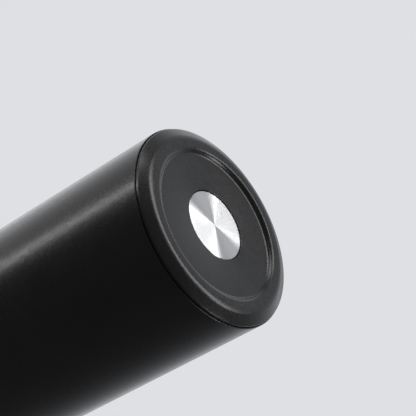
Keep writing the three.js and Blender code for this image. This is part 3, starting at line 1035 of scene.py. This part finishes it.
@dataclass
class VacuumVessel:
    """The steel liner, its bottom, the foil round it, and what closes and keeps the vacuum."""

    shop: Workshop
    neck_gap: float = 1.5 * MM
    lip: float = 0.8 * MM
    lip_curl: float = 0.45          # share of the lip's thickness
    long_edge: float = 5 * MM       # shortest upright edge that is split for the thread
    shoulder_drop: float = 6 * MM
    shoulder_rise: float = 7 * MM
    thread_rise: float = 1 * MM
    thread_row: float = 0.32 * MM
    bottom_fillet: float = 6 * MM
    foil_thickness: float = 0.2 * MM
    foil_row: float = 6 * MM
    crease_depth: float = 0.15 * MM
    crease_folds: tuple[int, int] = (9, 4)
    crease_lengths: tuple[float, float] = (7 * MM, 11 * MM)
    plate_wall: float = 0.7 * MM
    plate_skirt: float = 2.4 * MM
    dimple_radius: float = 6 * MM
    dimple_depth: float = 2 * MM
    port_radius: float = 1.1 * MM
    bead_foot: float = 0.45         # share of the bead's radius
    bead_sag: float = 0.8 * MM
    bead_brim: float = 0.25 * MM
    brim_round: float = 0.18 * MM
    getter_offset: float = 16 * MM
    pellet_dish: float = 0.15 * MM
    dish_top: float = 0.55          # shares of the pellet's radius
    dish_floor: float = 0.5
    clip_thickness: float = 0.4 * MM
    clip_width: float = 3 * MM
    clip_reach: float = 6.5 * MM
    clip_round: float = 0.09 * MM

    def build(self) -> None:
        """Make every piece of the vessel."""
        self.liner()
        self.bottom()
        self.foil()
        self.plate()
        self.seal()
        self.getter()

    def liner(self) -> None:
        """Turn the liner with its rolled lip, and roll the stopper's thread into its neck."""
        liner = Extent.of("inner_liner")
        shelf = Extent.of("outer_shell").top
        lip_radius = Extent.of("neck_sleeve").radius - NECK_FOOT
        neck_outer = lip_radius - SHELL_WALL - self.neck_gap
        mouth = neck_outer - LINER_WALL
        bore = liner.radius - LINER_WALL
        neck_bottom = shelf - self.shoulder_drop
        tube_top = neck_bottom - self.shoulder_rise
        bend = self.shoulder_rise / 2
        shape = Shape.turned([
            Corner(bore, liner.bottom, CUT_EDGE),
            Corner(bore, tube_top, bend),
            Corner(mouth, neck_bottom, bend),
            Corner(mouth, liner.top, self.lip / 2),
            Corner(lip_radius, liner.top, self.lip_curl * self.lip),
            Corner(lip_radius, liner.top - self.lip, self.lip_curl * self.lip),
            Corner(neck_outer, liner.top - self.lip, EDGE),
            Corner(neck_outer, neck_bottom, bend),
            Corner(liner.radius, tube_top, bend),
            Corner(liner.radius, liner.bottom, CUT_EDGE),
        ])
        neck_edges = [e for e in shape.bm.edges if self._is_neck_wall(e, neck_bottom, neck_outer)]
        cuts = math.ceil((liner.top - neck_bottom) / self.thread_row)
        bmesh.ops.subdivide_edges(shape.bm, edges=neck_edges, cuts=cuts, use_grid_fill=True)
        shape.roll(Thread(shelf + THREAD_START), mouth - EDGE, neck_outer + EDGE,
                   -self.thread_rise)
        self.shop.dress(shape, "steel_liner", "inner_liner", Body.FLASK, Slot.STEEL)

    def _is_neck_wall(self, edge: bmesh.types.BMEdge, low: float, outer: float) -> bool:
        """Tell whether an edge is a long upright one of the liner's neck.

        Args:
            edge: The edge.
            low: Height of the neck's bottom.
            outer: Outside radius of the neck.

        Returns:
            True for the neck's upright edges.
        """
        a, b = (v.co for v in edge.verts)
        upright = math.hypot(a.x - b.x, a.y - b.y) < POINT_REACH
        near = math.hypot(a.x, a.y) < outer + CUT_EDGE
        return upright and near and abs(a.z - b.z) > self.long_edge and max(a.z, b.z) > low

    def bottom(self) -> None:
        """Turn the dished bottom of the liner."""
        dish = Extent.of("liner_bottom")
        bore = dish.radius - LINER_WALL
        floor = dish.bottom + LINER_WALL
        shape = Shape.turned([
            Corner(0, dish.bottom),
            Corner(dish.radius, dish.bottom, self.bottom_fillet),
            Corner(dish.radius, dish.top, CUT_EDGE),
            Corner(bore, dish.top, CUT_EDGE),
            Corner(bore, floor, self.bottom_fillet - LINER_WALL),
            Corner(0, floor),
        ])
        self.shop.dress(shape, "liner_dish", "liner_bottom", Body.FLASK, Slot.STEEL)

    def foil(self) -> None:
        """Turn the foil, with the shallow creases of its wrapping."""
        foil = Extent.of("heat_foil")
        bore = foil.radius - self.foil_thickness
        shape = Shape.turned([
            Corner(bore, foil.bottom), Corner(foil.radius, foil.bottom),
            Corner(foil.radius, foil.top), Corner(bore, foil.top),
        ], row=self.foil_row)
        folds, back_folds = self.crease_folds
        length, back_length = self.crease_lengths

        def crease(radius: float, angle: float, height: float) -> tuple[float, float]:
            """Push the foil out a little along slanting creases."""
            wave = math.sin(folds * angle + height / length)
            wave *= math.sin(height / back_length - back_folds * angle)
            return radius + self.crease_depth * wave * wave, height

        self.shop.dress(shape.reshape(crease), "foil_wrap", "heat_foil", Body.FLASK, Slot.COPPER)

    def plate(self) -> None:
        """Turn the plate that closes the vacuum, with its dimple and port."""
        plate = Extent.of("vacuum_plate")
        top = plate.bottom + self.plate_skirt + self.plate_wall
        under = top - self.plate_wall
        skirt = plate.radius - self.plate_wall
        dimple = self.dimple_radius
        shape = Shape.turned([
            Corner(self.port_radius, under + self.dimple_depth, CUT_EDGE),
            Corner(dimple, under + self.dimple_depth, WIDE_EDGE),
            Corner(dimple, under, FULL_EDGE),
            Corner(skirt, under, WIDE_EDGE),
            Corner(skirt, plate.bottom, CRISP_EDGE),
            Corner(plate.radius, plate.bottom, CRISP_EDGE),
            Corner(plate.radius, top, self.plate_wall),
            Corner(dimple + self.plate_wall, top, WIDE_EDGE),
            Corner(dimple + self.plate_wall, top + self.dimple_depth, WIDE_EDGE),
            Corner(self.port_radius, top + self.dimple_depth, EDGE),
        ])
        self.shop.dress(shape, "closing_plate", "vacuum_plate", Body.FLASK, Slot.STEEL)

    def seal(self) -> None:
        """Turn the glass bead, sagged to a lens as it melted."""
        bead = Extent.of("vacuum_seal")
        shape = Shape.turned([
            Corner(0, bead.bottom),
            Corner(self.bead_foot * bead.radius, bead.bottom, self.bead_sag),
            Corner(bead.radius, bead.top - self.bead_brim, self.brim_round),
            Corner(bead.radius - CUT_EDGE, bead.top),
            Corner(0, bead.top),
        ], SMALL_STEPS)
        self.shop.dress(shape, "glass_bead", "vacuum_seal", Body.FLASK, Slot.SEAL_GLASS)

    def getter(self) -> None:
        """Make the getter pellet and the strap over it."""
        low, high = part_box("getter")
        radius = (high.x - low.x) / 2
        dish = high.z - self.pellet_dish
        pellet = Shape.turned([
            Corner(0, low.z), Corner(radius, low.z, SOFT_EDGE),
            Corner(radius, high.z, FULL_EDGE), Corner(self.dish_top * radius, high.z),
            Corner(self.dish_floor * radius, dish), Corner(0, dish),
        ], SMALL_STEPS).moved(Vector((self.getter_offset, 0, 0)))
        self.shop.dress(pellet, "getter_pellet", "getter", Body.FLASK, Slot.GETTER_METAL)

        base, rise = low.z, high.z - low.z + SEAT_GAP
        inner = radius + FIT_GAP
        thick = self.clip_thickness
        outline = [
            (-self.clip_reach, 0), (-inner, 0), (-inner, rise), (inner, rise), (inner, 0),
            (self.clip_reach, 0), (self.clip_reach, thick), (inner + thick, thick),
            (inner + thick, rise + thick), (-inner - thick, rise + thick),
            (-inner - thick, thick), (-self.clip_reach, thick),
        ]
        strap = Shape()
        verts = [
            strap.bm.verts.new((self.getter_offset - self.clip_width / 2, y, base + z))
            for y, z in outline
        ]
        face = strap.bm.faces.new(verts)
        grown = bmesh.ops.extrude_face_region(strap.bm, geom=[face])["geom"]
        moved = [item for item in grown if isinstance(item, bmesh.types.BMVert)]
        bmesh.ops.translate(strap.bm, vec=(self.clip_width, 0, 0), verts=moved)
        strap.closed()
        strap.bevel(strap.bm.edges[:], self.clip_round, segments=2)
        self.shop.dress(strap, "getter_strap", "getter_clip", Body.FLASK, Slot.SPRING_STEEL)


# ---------------------------------------------------------------- stopper

@dataclass
class Stopper:
    """The threaded plug with its insulation, cover and gasket, and the spring of its button."""

    shop: Workshop
    plug_wall: float = 1.8 * MM
    plug_floor: float = 2 * MM
    flow_radius: float = 8 * MM
    flow_wall: float = 1.6 * MM
    port_radius: float = 6 * MM
    flange: float = 2.4 * MM
    bead: float = 0.3 * MM
    plug_round: float = 1 * MM
    corner_round: float = 0.8 * MM
    rim_round: float = 0.6 * MM
    foam_row: float = 2 * MM
    thread_row: float = 0.36 * MM
    cover_shell: float = 1.6 * MM
    collar_wall: float = 1.4 * MM
    collar_gap: float = 2.2 * MM
    grips: int = 48
    grip_depth: float = 0.35 * MM
    grip_row: float = 0.6 * MM
    grip_start: float = 0.7 * MM        # above the cover's lower edge
    grip_skin: float = 0.8 * MM         # inner part of the side, which the flutes leave alone
    grip_fade: float = 0.6 * MM
    spout_width: float = 14 * MM
    spout_height: float = 3.6 * MM
    spout_round: float = 1.1 * MM
    spout_reach: tuple[float, float] = (0.5, 1.4)    # shares of the cover's radius
    spout_drop: float = 2 * MM
    button_clearance: float = 0.5 * MM
    arms: int = 3
    arm_angle: float = 0.6              # radians
    window_steps: int = 24
    spring_turns: float = 5
    wire: float = 0.45 * MM
    wire_facets: int = 12
    coil_steps: int = 48
    closed_pitch: float = 2.15          # rise of a closed coil, in wire radii
    travel: float = 3.5 * MM

    def build(self) -> None:
        """Make every piece of the stopper."""
        self.gasket()
        self.plug()
        self.insulation()
        self.cover()
        self.guide()
        self.spring()

    def gasket(self) -> None:
        """Turn the gasket, with two sealing beads on each face."""
        ring = Extent.of("stopper_gasket")
        bore = self._plug_radius() + FIT_GAP
        middle = (ring.radius + bore) / 2
        shape = Shape.turned([
            Corner(bore, ring.bottom, SOFT_EDGE),
            Corner(middle - self.bead, ring.bottom, CRISP_EDGE),
            Corner(middle, ring.bottom + self.bead, CRISP_EDGE),
            Corner(middle + self.bead, ring.bottom, CRISP_EDGE),
            Corner(ring.radius, ring.bottom, FULL_EDGE),
            Corner(ring.radius, ring.top, FULL_EDGE),
            Corner(middle + self.bead, ring.top, CRISP_EDGE),
            Corner(middle, ring.top - self.bead, CRISP_EDGE),
            Corner(middle - self.bead, ring.top, CRISP_EDGE),
            Corner(bore, ring.top, SOFT_EDGE),
        ])
        self.shop.dress(shape, "flange_gasket", "stopper_gasket", Body.STOPPER_SEAT, Slot.CLEAR_SILICONE)

    def _plug_radius(self) -> float:
        """Return the outside radius of the plug: that of its foam, and its wall."""
        return Extent.of("stopper_foam").radius + FIT_GAP + self.plug_wall

    def plug(self) -> None:
        """Turn the plug with its pouring tube, and mould the thread on its side."""
        body = Extent.of("stopper_body")
        flow_top = Extent.of("foam_cap").top
        radius = self._plug_radius()
        inside = radius - self.plug_wall
        floor = body.bottom + self.plug_floor
        outer_flow = self.flow_radius + self.flow_wall
        flange_bottom = body.top - self.flange
        shape = Shape.turned([
            Corner(self.port_radius, body.bottom, FULL_EDGE),
            Corner(radius, body.bottom, self.plug_round),
            Corner(radius, flange_bottom, EDGE),
            Corner(body.radius, flange_bottom, FULL_EDGE),
            Corner(body.radius, body.top, self.rim_round),
            Corner(inside, body.top, BLUNT_EDGE),
            Corner(inside, floor, self.corner_round),
            Corner(outer_flow, floor, self.corner_round),
            Corner(outer_flow, flow_top, SOFT_EDGE),
            Corner(self.flow_radius, flow_top, SOFT_EDGE),
            Corner(self.flow_radius, floor, FULL_EDGE),
            Corner(self.port_radius, floor, SOFT_EDGE),
        ], row=self.thread_row)
        shelf = Extent.of("outer_shell").top
        thread = Thread(shelf + THREAD_START + THREAD_PITCH / 2)
        shape.roll(thread, radius - SKIN_REACH, radius + SKIN_REACH, RIDGE_RISE)
        self.shop.dress(shape, "threaded_plug", "stopper_body", Body.STOPPER, Slot.BLACK_PLASTIC)

    def insulation(self) -> None:
        """Turn the foam in the plug and the plate that covers it."""
        foam = Extent.of("stopper_foam")
        bore = self.flow_radius + self.flow_wall + FIT_GAP
        ring = Shape.turned([
            Corner(bore, foam.bottom, WIDE_EDGE), Corner(foam.radius, foam.bottom, self.corner_round),
            Corner(foam.radius, foam.top, self.corner_round), Corner(bore, foam.top, WIDE_EDGE),
        ], row=self.foam_row)
        self.shop.dress(ring, "foam_ring", "stopper_foam", Body.STOPPER, Slot.FOAM)
        cap = Extent.of("foam_cap")
        plate = Shape.turned([
            Corner(bore, cap.bottom, CUT_EDGE), Corner(cap.radius, cap.bottom, CUT_EDGE),
            Corner(cap.radius, cap.top, SOFT_EDGE), Corner(bore, cap.top, EDGE),
        ])
        self.shop.dress(plate, "channel_floor", "foam_cap", Body.STOPPER, Slot.BLACK_PLASTIC)

    def cover(self) -> None:
        """Turn the cover, press grip flutes into its side and cut the pouring lip."""
        cover = Extent.of("stopper_cover")
        bottom = Extent.of("stopper_body").top + SEAT_GAP
        hole = Extent.of("push_button").radius + self.button_clearance
        collar_bottom = Extent.of("foam_cap").top + self.collar_gap
        under = cover.top - self.cover_shell
        inner = cover.radius - self.cover_shell
        shape = Shape.turned([
            Corner(inner, bottom, EDGE),
            Corner(cover.radius, bottom, SOFT_EDGE),
            Corner(cover.radius, cover.top, self.cover_shell),
            Corner(hole, cover.top, WIDE_EDGE),
            Corner(hole, collar_bottom, SOFT_EDGE),
            Corner(hole + self.collar_wall, collar_bottom, SOFT_EDGE),
            Corner(hole + self.collar_wall, under, self.rim_round),
            Corner(inner, under, self.rim_round),
        ], steps=6 * self.grips, row=self.grip_row)

        def flute(radius: float, angle: float, height: float) -> tuple[float, float]:
            """Press the grip flutes into the upper part of the side."""
            share = smooth((radius - inner - self.grip_skin) / self.grip_fade)
            foot = smooth((height - bottom - self.grip_start) / MM)
            band = foot * smooth((cover.top - height) / MM)
            groove = max(0.0, math.cos(self.grips * angle)) ** 2
            return radius - self.grip_depth * share * band * groove, height

        shape.reshape(flute)
        near, far = (share * cover.radius for share in self.spout_reach)
        spout_top = bottom - SEAT_GAP + self.spout_height
        low = Vector((near, -self.spout_width / 2, bottom - self.spout_drop))
        high = Vector((far, self.spout_width / 2, spout_top))
        shape.cut([Shape.box(low, high, self.spout_round)])
        self.shop.dress(shape, "stopper_lid", "stopper_cover", Body.STOPPER, Slot.BLACK_PLASTIC)

    def guide(self) -> None:
        """Turn the stem's guide and cut the three windows that the drink passes through."""
        guide = Extent.of("stem_guide")
        bore = STEM_RADIUS + FIT_GAP
        hub = Extent.of("button_spring").radius + self.wire
        blank = Shape.turned([
            Corner(bore, guide.bottom, EDGE), Corner(guide.radius, guide.bottom, EDGE),
            Corner(guide.radius, guide.top, EDGE), Corner(bore, guide.top, EDGE),
        ], SMALL_STEPS)
        sweep = TURN / self.arms - self.arm_angle
        rim = (guide.radius - hub) / 3
        near, far = hub - rim, guide.radius - rim
        outline = [
            Corner(near, guide.bottom - MM), Corner(far, guide.bottom - MM),
            Corner(far, guide.top + MM), Corner(near, guide.top + MM),
        ]
        windows = [
            Shape.sector(outline, TURN * k / self.arms, sweep, self.window_steps)
            for k in range(self.arms)
        ]
        self.shop.dress(blank.cut(windows), "stem_spider", "stem_guide", Body.STOPPER, Slot.GREY_PLASTIC)

    def spring(self) -> None:
        """Wind the button's spring, with one closed coil at each end."""
        spring = Extent.of("button_spring")
        centre = spring.radius - self.wire
        closed_rise = self.closed_pitch * self.wire
        height = spring.top - spring.bottom - 2 * self.wire
        shape = Shape()
        start = Matrix.Translation((centre, 0, spring.bottom + self.wire))
        place = start @ Matrix.Rotation(math.pi / 2, 4, "X")
        circle = bmesh.ops.create_circle(
            shape.bm, cap_ends=True, radius=self.wire, segments=self.wire_facets, matrix=place,
        )
        last = list({face for vert in circle["verts"] for face in vert.link_faces})
        runs = [(1, closed_rise), (self.spring_turns - 2, height - 2 * closed_rise), (1, closed_rise)]
        for turns, rise in runs:
            steps = round(self.coil_steps * turns)
            made = bmesh.ops.spin(
                shape.bm, geom=last, cent=(0, 0, 0), axis=(0, 0, 1), dvec=(0, 0, rise / steps),
                angle=TURN * turns, steps=steps, use_merge=False, use_duplicate=False,
            )
            last = [item for item in made["geom_last"] if isinstance(item, bmesh.types.BMFace)]
        shape.closed()
        piece = self.shop.dress(shape, "spring_coil", "button_spring", Body.STOPPER, Slot.SPRING_STEEL)
        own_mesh(piece)


@dataclass
class ButtonAndValve:
    """The push button, its seal, the stem down through the stopper, and the valve on its foot."""

    shop: Workshop
    wall: float = 1.4 * MM
    crown_round: float = 0.9 * MM
    dish_share: float = 0.62            # of the button's radius
    dish_edge: float = 0.05 * MM        # depths of the dish under the button's top
    dish_slope: float = 0.45 * MM
    dish_floor: float = 0.5 * MM
    dish_round: float = 6 * MM
    groove_width: float = 0.7 * MM
    groove_depth: float = 0.4 * MM
    seal_lip: tuple[float, float] = (0.5 * MM, 0.4 * MM)
    valve_bevel: tuple[float, float] = (0.4 * MM, 0.6 * MM)
    foot_step: float = 1 * MM
    stem_row: float = 3 * MM
    cap_round: float = 0.6 * MM

    def build(self) -> None:
        """Make every piece that moves with the button."""
        self.button()
        self.seal()
        self.stem()
        self.valve()
        self.retainer()

    def button(self) -> None:
        """Turn the button, with a dished top and a groove round it."""
        button = Extent.of("push_button")
        inner = button.radius - self.wall
        under = button.top - self.wall
        dish = self.dish_share * button.radius
        shape = Shape.turned([
            Corner(0, under), Corner(inner, under, WIDE_EDGE), Corner(inner, button.bottom, EDGE),
            Corner(button.radius, button.bottom, EDGE), Corner(button.radius, button.top, self.crown_round),
            Corner(dish + self.groove_width, button.top, BLUNT_EDGE),
            Corner(dish + self.groove_width / 2, button.top - self.groove_depth, EDGE),
            Corner(dish, button.top - self.dish_edge, BLUNT_EDGE),
            Corner(dish / 2, button.top - self.dish_slope, self.dish_round),
            Corner(0, button.top - self.dish_floor),
        ])
        self.shop.dress(shape, "push_pad", "push_button", Body.BUTTON, Slot.GREY_PLASTIC)

    def seal(self) -> None:
        """Turn the seal under the button's skirt, with a lip on its outer edge."""
        ring = Extent.of("button_seal")
        bore = Extent.of("push_button").radius - self.wall
        width, height = self.seal_lip
        shape = Shape.turned([
            Corner(bore, ring.bottom, EDGE),
            Corner(ring.radius - width, ring.bottom, EDGE),
            Corner(ring.radius, ring.bottom + height, BLUNT_EDGE),
            Corner(ring.radius, ring.top, BLUNT_EDGE),
            Corner(bore, ring.top, EDGE),
        ])
        self.shop.dress(shape, "button_lip_seal", "button_seal", Body.BUTTON, Slot.CLEAR_SILICONE)

    def stem(self) -> None:
        """Turn the stem with its foot and a groove for the seal."""
        stem = Extent.of("valve_stem")
        shape = Shape.turned([
            Corner(0, stem.bottom),
            Corner(stem.radius, stem.bottom, BLUNT_EDGE),
            Corner(stem.radius, stem.bottom + self.foot_step, CRISP_EDGE),
            Corner(STEM_RADIUS, stem.bottom + self.foot_step, CUT_EDGE),
            Corner(STEM_RADIUS, stem.top, WIDE_EDGE),
            Corner(0, stem.top),
        ], SMALL_STEPS, row=self.stem_row)
        self.shop.dress(shape, "stem_rod", "valve_stem", Body.BUTTON, Slot.GREY_PLASTIC)

    def valve(self) -> None:
        """Turn the valve's seal, bevelled where it meets the port."""
        seal = Extent.of("valve_seal")
        bore = STEM_RADIUS + FIT_GAP
        width, height = self.valve_bevel
        shape = Shape.turned([
            Corner(bore, seal.bottom, EDGE),
            Corner(seal.radius - width, seal.bottom, SOFT_EDGE),
            Corner(seal.radius, seal.bottom + height, SOFT_EDGE),
            Corner(seal.radius, seal.top, SOFT_EDGE),
            Corner(bore, seal.top, EDGE),
        ], SMALL_STEPS)
        self.shop.dress(shape, "valve_disc", "valve_seal", Body.BUTTON, Slot.CLEAR_SILICONE)

    def retainer(self) -> None:
        """Turn the cap that keeps the seal on the stem."""
        cap = Extent.of("seal_retainer")
        stem = Extent.of("valve_stem")
        foot = stem.radius + FIT_GAP
        inside = stem.bottom - SEAT_GAP
        shape = Shape.turned([
            Corner(0, cap.bottom), Corner(cap.radius, cap.bottom, self.cap_round),
            Corner(cap.radius, cap.top, BLUNT_EDGE), Corner(foot, cap.top, CRISP_EDGE),
            Corner(foot, inside, CRISP_EDGE), Corner(0, inside),
        ], SMALL_STEPS)
        self.shop.dress(shape, "seal_cap", "seal_retainer", Body.BUTTON, Slot.GREY_PLASTIC)


# ---------------------------------------------------------------- cup

@dataclass
class DrinkingCup:
    """The cup over the stopper: painted outside, steel inside, with a threaded ring in its mouth."""

    shop: Workshop
    fillet: float = 4 * MM
    crown: float = 0.35 * MM
    sheet_round: float = 0.12 * MM
    sheet_row: float = 8 * MM
    rim_bevel: float = 0.75 * MM
    ring_round: float = 0.9 * MM
    air_gap: float = 2 * MM
    ring_wall: float = 2 * MM
    thread_row: float = 0.36 * MM

    def build(self) -> None:
        """Make every piece of the cup."""
        self.rim_ring()
        self.shell()
        self.liner()
        self.thread_ring()

    def rim_ring(self) -> None:
        """Turn the silicone ring between the cup's mouth and the shelf."""
        ring = Extent.of("cup_rim_ring")
        bore = Extent.of("cup_thread_ring").radius - self.ring_wall + FIT_GAP
        shape = Shape.turned([
            Corner(bore, ring.bottom, SOFT_EDGE),
            Corner(ring.radius - self.rim_bevel, ring.bottom, WIDE_EDGE),
            Corner(ring.radius, ring.top, SOFT_EDGE), Corner(bore, ring.top, SOFT_EDGE),
        ])
        self.shop.dress(shape, "rim_gasket", "cup_rim_ring", Body.CUP_SEAT, Slot.BLACK_SILICONE)

    def shell(self) -> None:
        """Turn the painted outside of the cup, slightly domed at the top."""
        cup = Extent.of("cup_shell")
        bore = cup.radius - SHELL_WALL
        side_top = cup.top - self.crown
        shape = Shape.turned([
            Corner(cup.radius, cup.bottom, EDGE),
            Corner(cup.radius, side_top, self.fillet),
            Corner(0, cup.top),
            Corner(0, cup.top - SHELL_WALL),
            Corner(bore, side_top - SHELL_WALL, self.fillet - SHELL_WALL),
            Corner(bore, cup.bottom, self.sheet_round),
        ], row=self.sheet_row)
        self.shop.dress(shape, "cup_outside", "cup_shell", Body.CUP, Slot.BLACK_PAINT)

    def liner(self) -> None:
        """Turn the steel inside of the cup, flared at its mouth."""
        liner = Extent.of("cup_liner")
        side = Extent.of("cup_shell").radius - SHELL_WALL - self.air_gap
        bore = side - LINER_WALL
        shape = Shape.turned([
            Corner(bore, liner.bottom, EDGE),
            Corner(liner.radius, liner.bottom, self.sheet_round),
            Corner(liner.radius, liner.bottom + LINER_WALL, self.sheet_round),
            Corner(side, liner.bottom + LINER_WALL, FULL_EDGE),
            Corner(side, liner.top, self.fillet),
            Corner(0, liner.top),
            Corner(0, liner.top - LINER_WALL),
            Corner(bore, liner.top - LINER_WALL, self.fillet - LINER_WALL),
        ], row=self.sheet_row)
        self.shop.dress(shape, "cup_inside", "cup_liner", Body.CUP, Slot.STEEL)

    def thread_ring(self) -> None:
        """Turn the plastic ring in the cup's mouth and mould its thread."""
        ring = Extent.of("cup_thread_ring")
        bore = ring.radius - self.ring_wall
        shelf = Extent.of("outer_shell").top
        shape = Shape.turned([
            Corner(bore, ring.bottom, FULL_EDGE), Corner(ring.radius, ring.bottom, EDGE),
            Corner(ring.radius, ring.top, self.ring_round), Corner(bore, ring.top, SOFT_EDGE),
        ], row=self.thread_row)
        thread = Thread(shelf + THREAD_START + THREAD_PITCH / 2)
        shape.roll(thread, bore - SKIN_REACH, bore + SKIN_REACH, -RIDGE_RISE)
        self.shop.dress(shape, "mouth_ring", "cup_thread_ring", Body.CUP, Slot.BLACK_PLASTIC)


# ---------------------------------------------------------------- studio

@dataclass(frozen=True)
class Softbox:
    """A plain rectangular area light that looks at the foot of the flask.

    Azimuth and elevation are in degrees, and azimuth 0 is the side that the camera stands on. The
    radiance is what a mirror would show of the light.
    """

    name: str
    azimuth: float
    elevation: float
    distance: float
    width: float
    length: float
    radiance: float

    def build(self) -> None:
        """Put the light in the scene, out of the camera's sight."""
        a, e = math.radians(self.azimuth), math.radians(self.elevation)
        away = Vector((math.sin(a) * math.cos(e), -math.cos(a) * math.cos(e), math.sin(e)))
        lamp = bpy.data.lights.new(self.name, "AREA")
        lamp.shape = "RECTANGLE"
        lamp.size = self.width
        lamp.size_y = self.length
        lamp.energy = self.radiance * math.pi * self.width * self.length
        lamp_object = bpy.data.objects.new(self.name, lamp)
        lamp_object.location = away * self.distance
        lamp_object.rotation_euler = away.to_track_quat("Z", "Y").to_euler()
        lamp_object.visible_camera = False
        bpy.context.scene.collection.objects.link(lamp_object)


@dataclass(frozen=True)
class Viewpoint:
    """Where the camera stands: below the flask's base, looking up at it, turned on its own axis."""

    lens: float = 134.99
    distance: float = 0.49533
    elevation: float = -31.672
    roll: float = -119.817
    sensor: float = 36.0
    nearest: float = 0.01
    aim: Vector = Vector((5.81 * MM, 0, 0.72 * MM))

    def build(self) -> None:
        """Make the camera and give it to the scene."""
        e, roll = math.radians(self.elevation), math.radians(self.roll)
        back = Vector((0, -math.cos(e), math.sin(e)))
        level = Vector((1, 0, 0))
        upright = level.cross(-back)
        up = math.cos(roll) * upright - math.sin(roll) * level
        right = (-back).cross(up)
        turn = Matrix((right, up, back)).transposed().to_4x4()
        lens = bpy.data.cameras.new("camera")
        lens.lens = self.lens
        lens.sensor_width = self.sensor
        lens.clip_start = self.nearest
        camera = bpy.data.objects.new("camera", lens)
        camera.matrix_world = Matrix.Translation(self.aim + back * self.distance) @ turn
        bpy.context.scene.collection.objects.link(camera)
        bpy.context.scene.camera = camera


@dataclass
class Studio:
    """Pale surroundings that fade to dark on the camera's side, soft lights round the flask, a floor.

    The surroundings' brightness depends only on how closely a direction follows bright_side: each
    stop gives a cosine and the brightness there.
    """

    backdrop: Colour = (0.735, 0.745, 0.775)
    daylight: Colour = (0.94, 0.96, 1.0)
    bright_side: Vector = Vector((0, 0.93, 0.37))
    stops: tuple[tuple[float, float], ...] = (
        (0.00, 0.10), (0.25, 0.15), (0.385, 0.22), (0.49, 0.32), (0.59, 0.37), (0.68, 0.60),
        (0.763, 0.72), (0.834, 0.93), (0.892, 1.28), (0.938, 0.60), (1.0, 0.44),
    )
    floor_size: float = 4.0
    paper_dark: Colour = (0.74, 0.75, 0.77)
    paper_light: Colour = (0.79, 0.80, 0.82)
    paper_fibres: float = 300.0
    boxes: tuple[Softbox, ...] = (
        Softbox("strip_light", 80, 5, 1.2, 0.10, 2.0, 8.4),
        Softbox("fill_light", 108, 31, 1.4, 0.84, 1.2, 0.40),
        Softbox("side_light", 151, 31, 1.4, 1.10, 1.2, 0.45),
        Softbox("low_light", 180, -57.5, 1.0, 1.20, 0.24, 5.2),
        Softbox("top_light", 180, 84, 1.6, 1.30, 1.3, 2.6),
        Softbox("left_light", -88, -34, 1.1, 0.38, 0.34, 8.0),
        Softbox("right_light", 103, -32, 1.1, 0.70, 0.30, 3.4),
    )

    def build(self) -> None:
        """Make the surroundings, the lights, the floor and the camera."""
        view = bpy.context.scene.view_settings
        view.view_transform = "Standard"
        view.look = "None"
        self.surroundings()
        for box in self.boxes:
            box.build()
        self.floor()
        Viewpoint().build()

    def surroundings(self) -> None:
        """Light the scene from all round, but hardly from behind the camera."""
        world = bpy.data.worlds.new("studio")
        bpy.context.scene.world = world
        world.use_nodes = True
        tree = world.node_tree
        tree.nodes.clear()
        output = tree.nodes.new("ShaderNodeOutputWorld")
        seen = tree.nodes.new("ShaderNodeBackground")
        seen.inputs["Color"].default_value = (*self.backdrop, 1.0)
        cast = tree.nodes.new("ShaderNodeBackground")
        cast.inputs["Color"].default_value = (*self.daylight, 1.0)
        way = tree.nodes.new("ShaderNodeTexCoord")
        facing = tree.nodes.new("ShaderNodeVectorMath")
        facing.operation = "DOT_PRODUCT"
        facing.inputs[1].default_value = self.bright_side
        tree.links.new(way.outputs["Generated"], facing.inputs[0])
        fade = tree.nodes.new("ShaderNodeValToRGB")
        ramp = fade.color_ramp
        while len(ramp.elements) < len(self.stops):
            ramp.elements.new(1.0)
        for element, (place, strength) in zip(ramp.elements, self.stops):
            element.position = place
            element.color = (strength, strength, strength, 1.0)
        tree.links.new(facing.outputs["Value"], fade.inputs["Fac"])
        tree.links.new(fade.outputs["Color"], cast.inputs["Strength"])
        path = tree.nodes.new("ShaderNodeLightPath")
        choice = tree.nodes.new("ShaderNodeMixShader")
        tree.links.new(path.outputs["Is Camera Ray"], choice.inputs[0])
        tree.links.new(cast.outputs[0], choice.inputs[1])
        tree.links.new(seen.outputs[0], choice.inputs[2])
        tree.links.new(choice.outputs[0], output.inputs["Surface"])

    def floor(self) -> None:
        """Lay a pale floor at the base ring, seen only from above."""
        shape = Shape()
        bmesh.ops.create_circle(
            shape.bm, cap_ends=True, radius=self.floor_size, segments=SMALL_STEPS,
        )
        floor = shape.write("floor")
        paper = Recipe("pale_paper", Roughness=0.8)
        fibres = paper.noise(paper.place(), self.paper_fibres)
        paper.tint(paper.spread(fibres, 0.0, 1.0), self.paper_dark, self.paper_light)
        side = paper.add("ShaderNodeNewGeometry")
        clear = paper.add("ShaderNodeBsdfTransparent")
        choice = paper.add("ShaderNodeMixShader")
        paper.join(side.outputs["Backfacing"], choice.inputs[0])
        paper.join(paper.shader.outputs[0], choice.inputs[1])
        paper.join(clear.outputs[0], choice.inputs[2])
        paper.join(choice.outputs[0], paper.output.inputs["Surface"])
        floor.data.materials.append(paper.material)
        floor.visible_diffuse = False
        floor.visible_glossy = False
        floor.visible_transmission = False
        floor.visible_shadow = False


def main() -> None:
    """Build the studio and every sub-assembly."""
    logging.basicConfig(level=logging.INFO, format="%(name)s %(message)s")
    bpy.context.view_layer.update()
    Studio().build()
    shop = Workshop()
    for assembly in (PaintedBody, BaseDisc, VacuumVessel, Stopper, ButtonAndValve, DrinkingCup):
        assembly(shop).build()
        LOG.info("%s is done", assembly.__name__)
    LOG.info("%d pieces", len(shop.pieces))


if __name__ == "__main__":
    main()
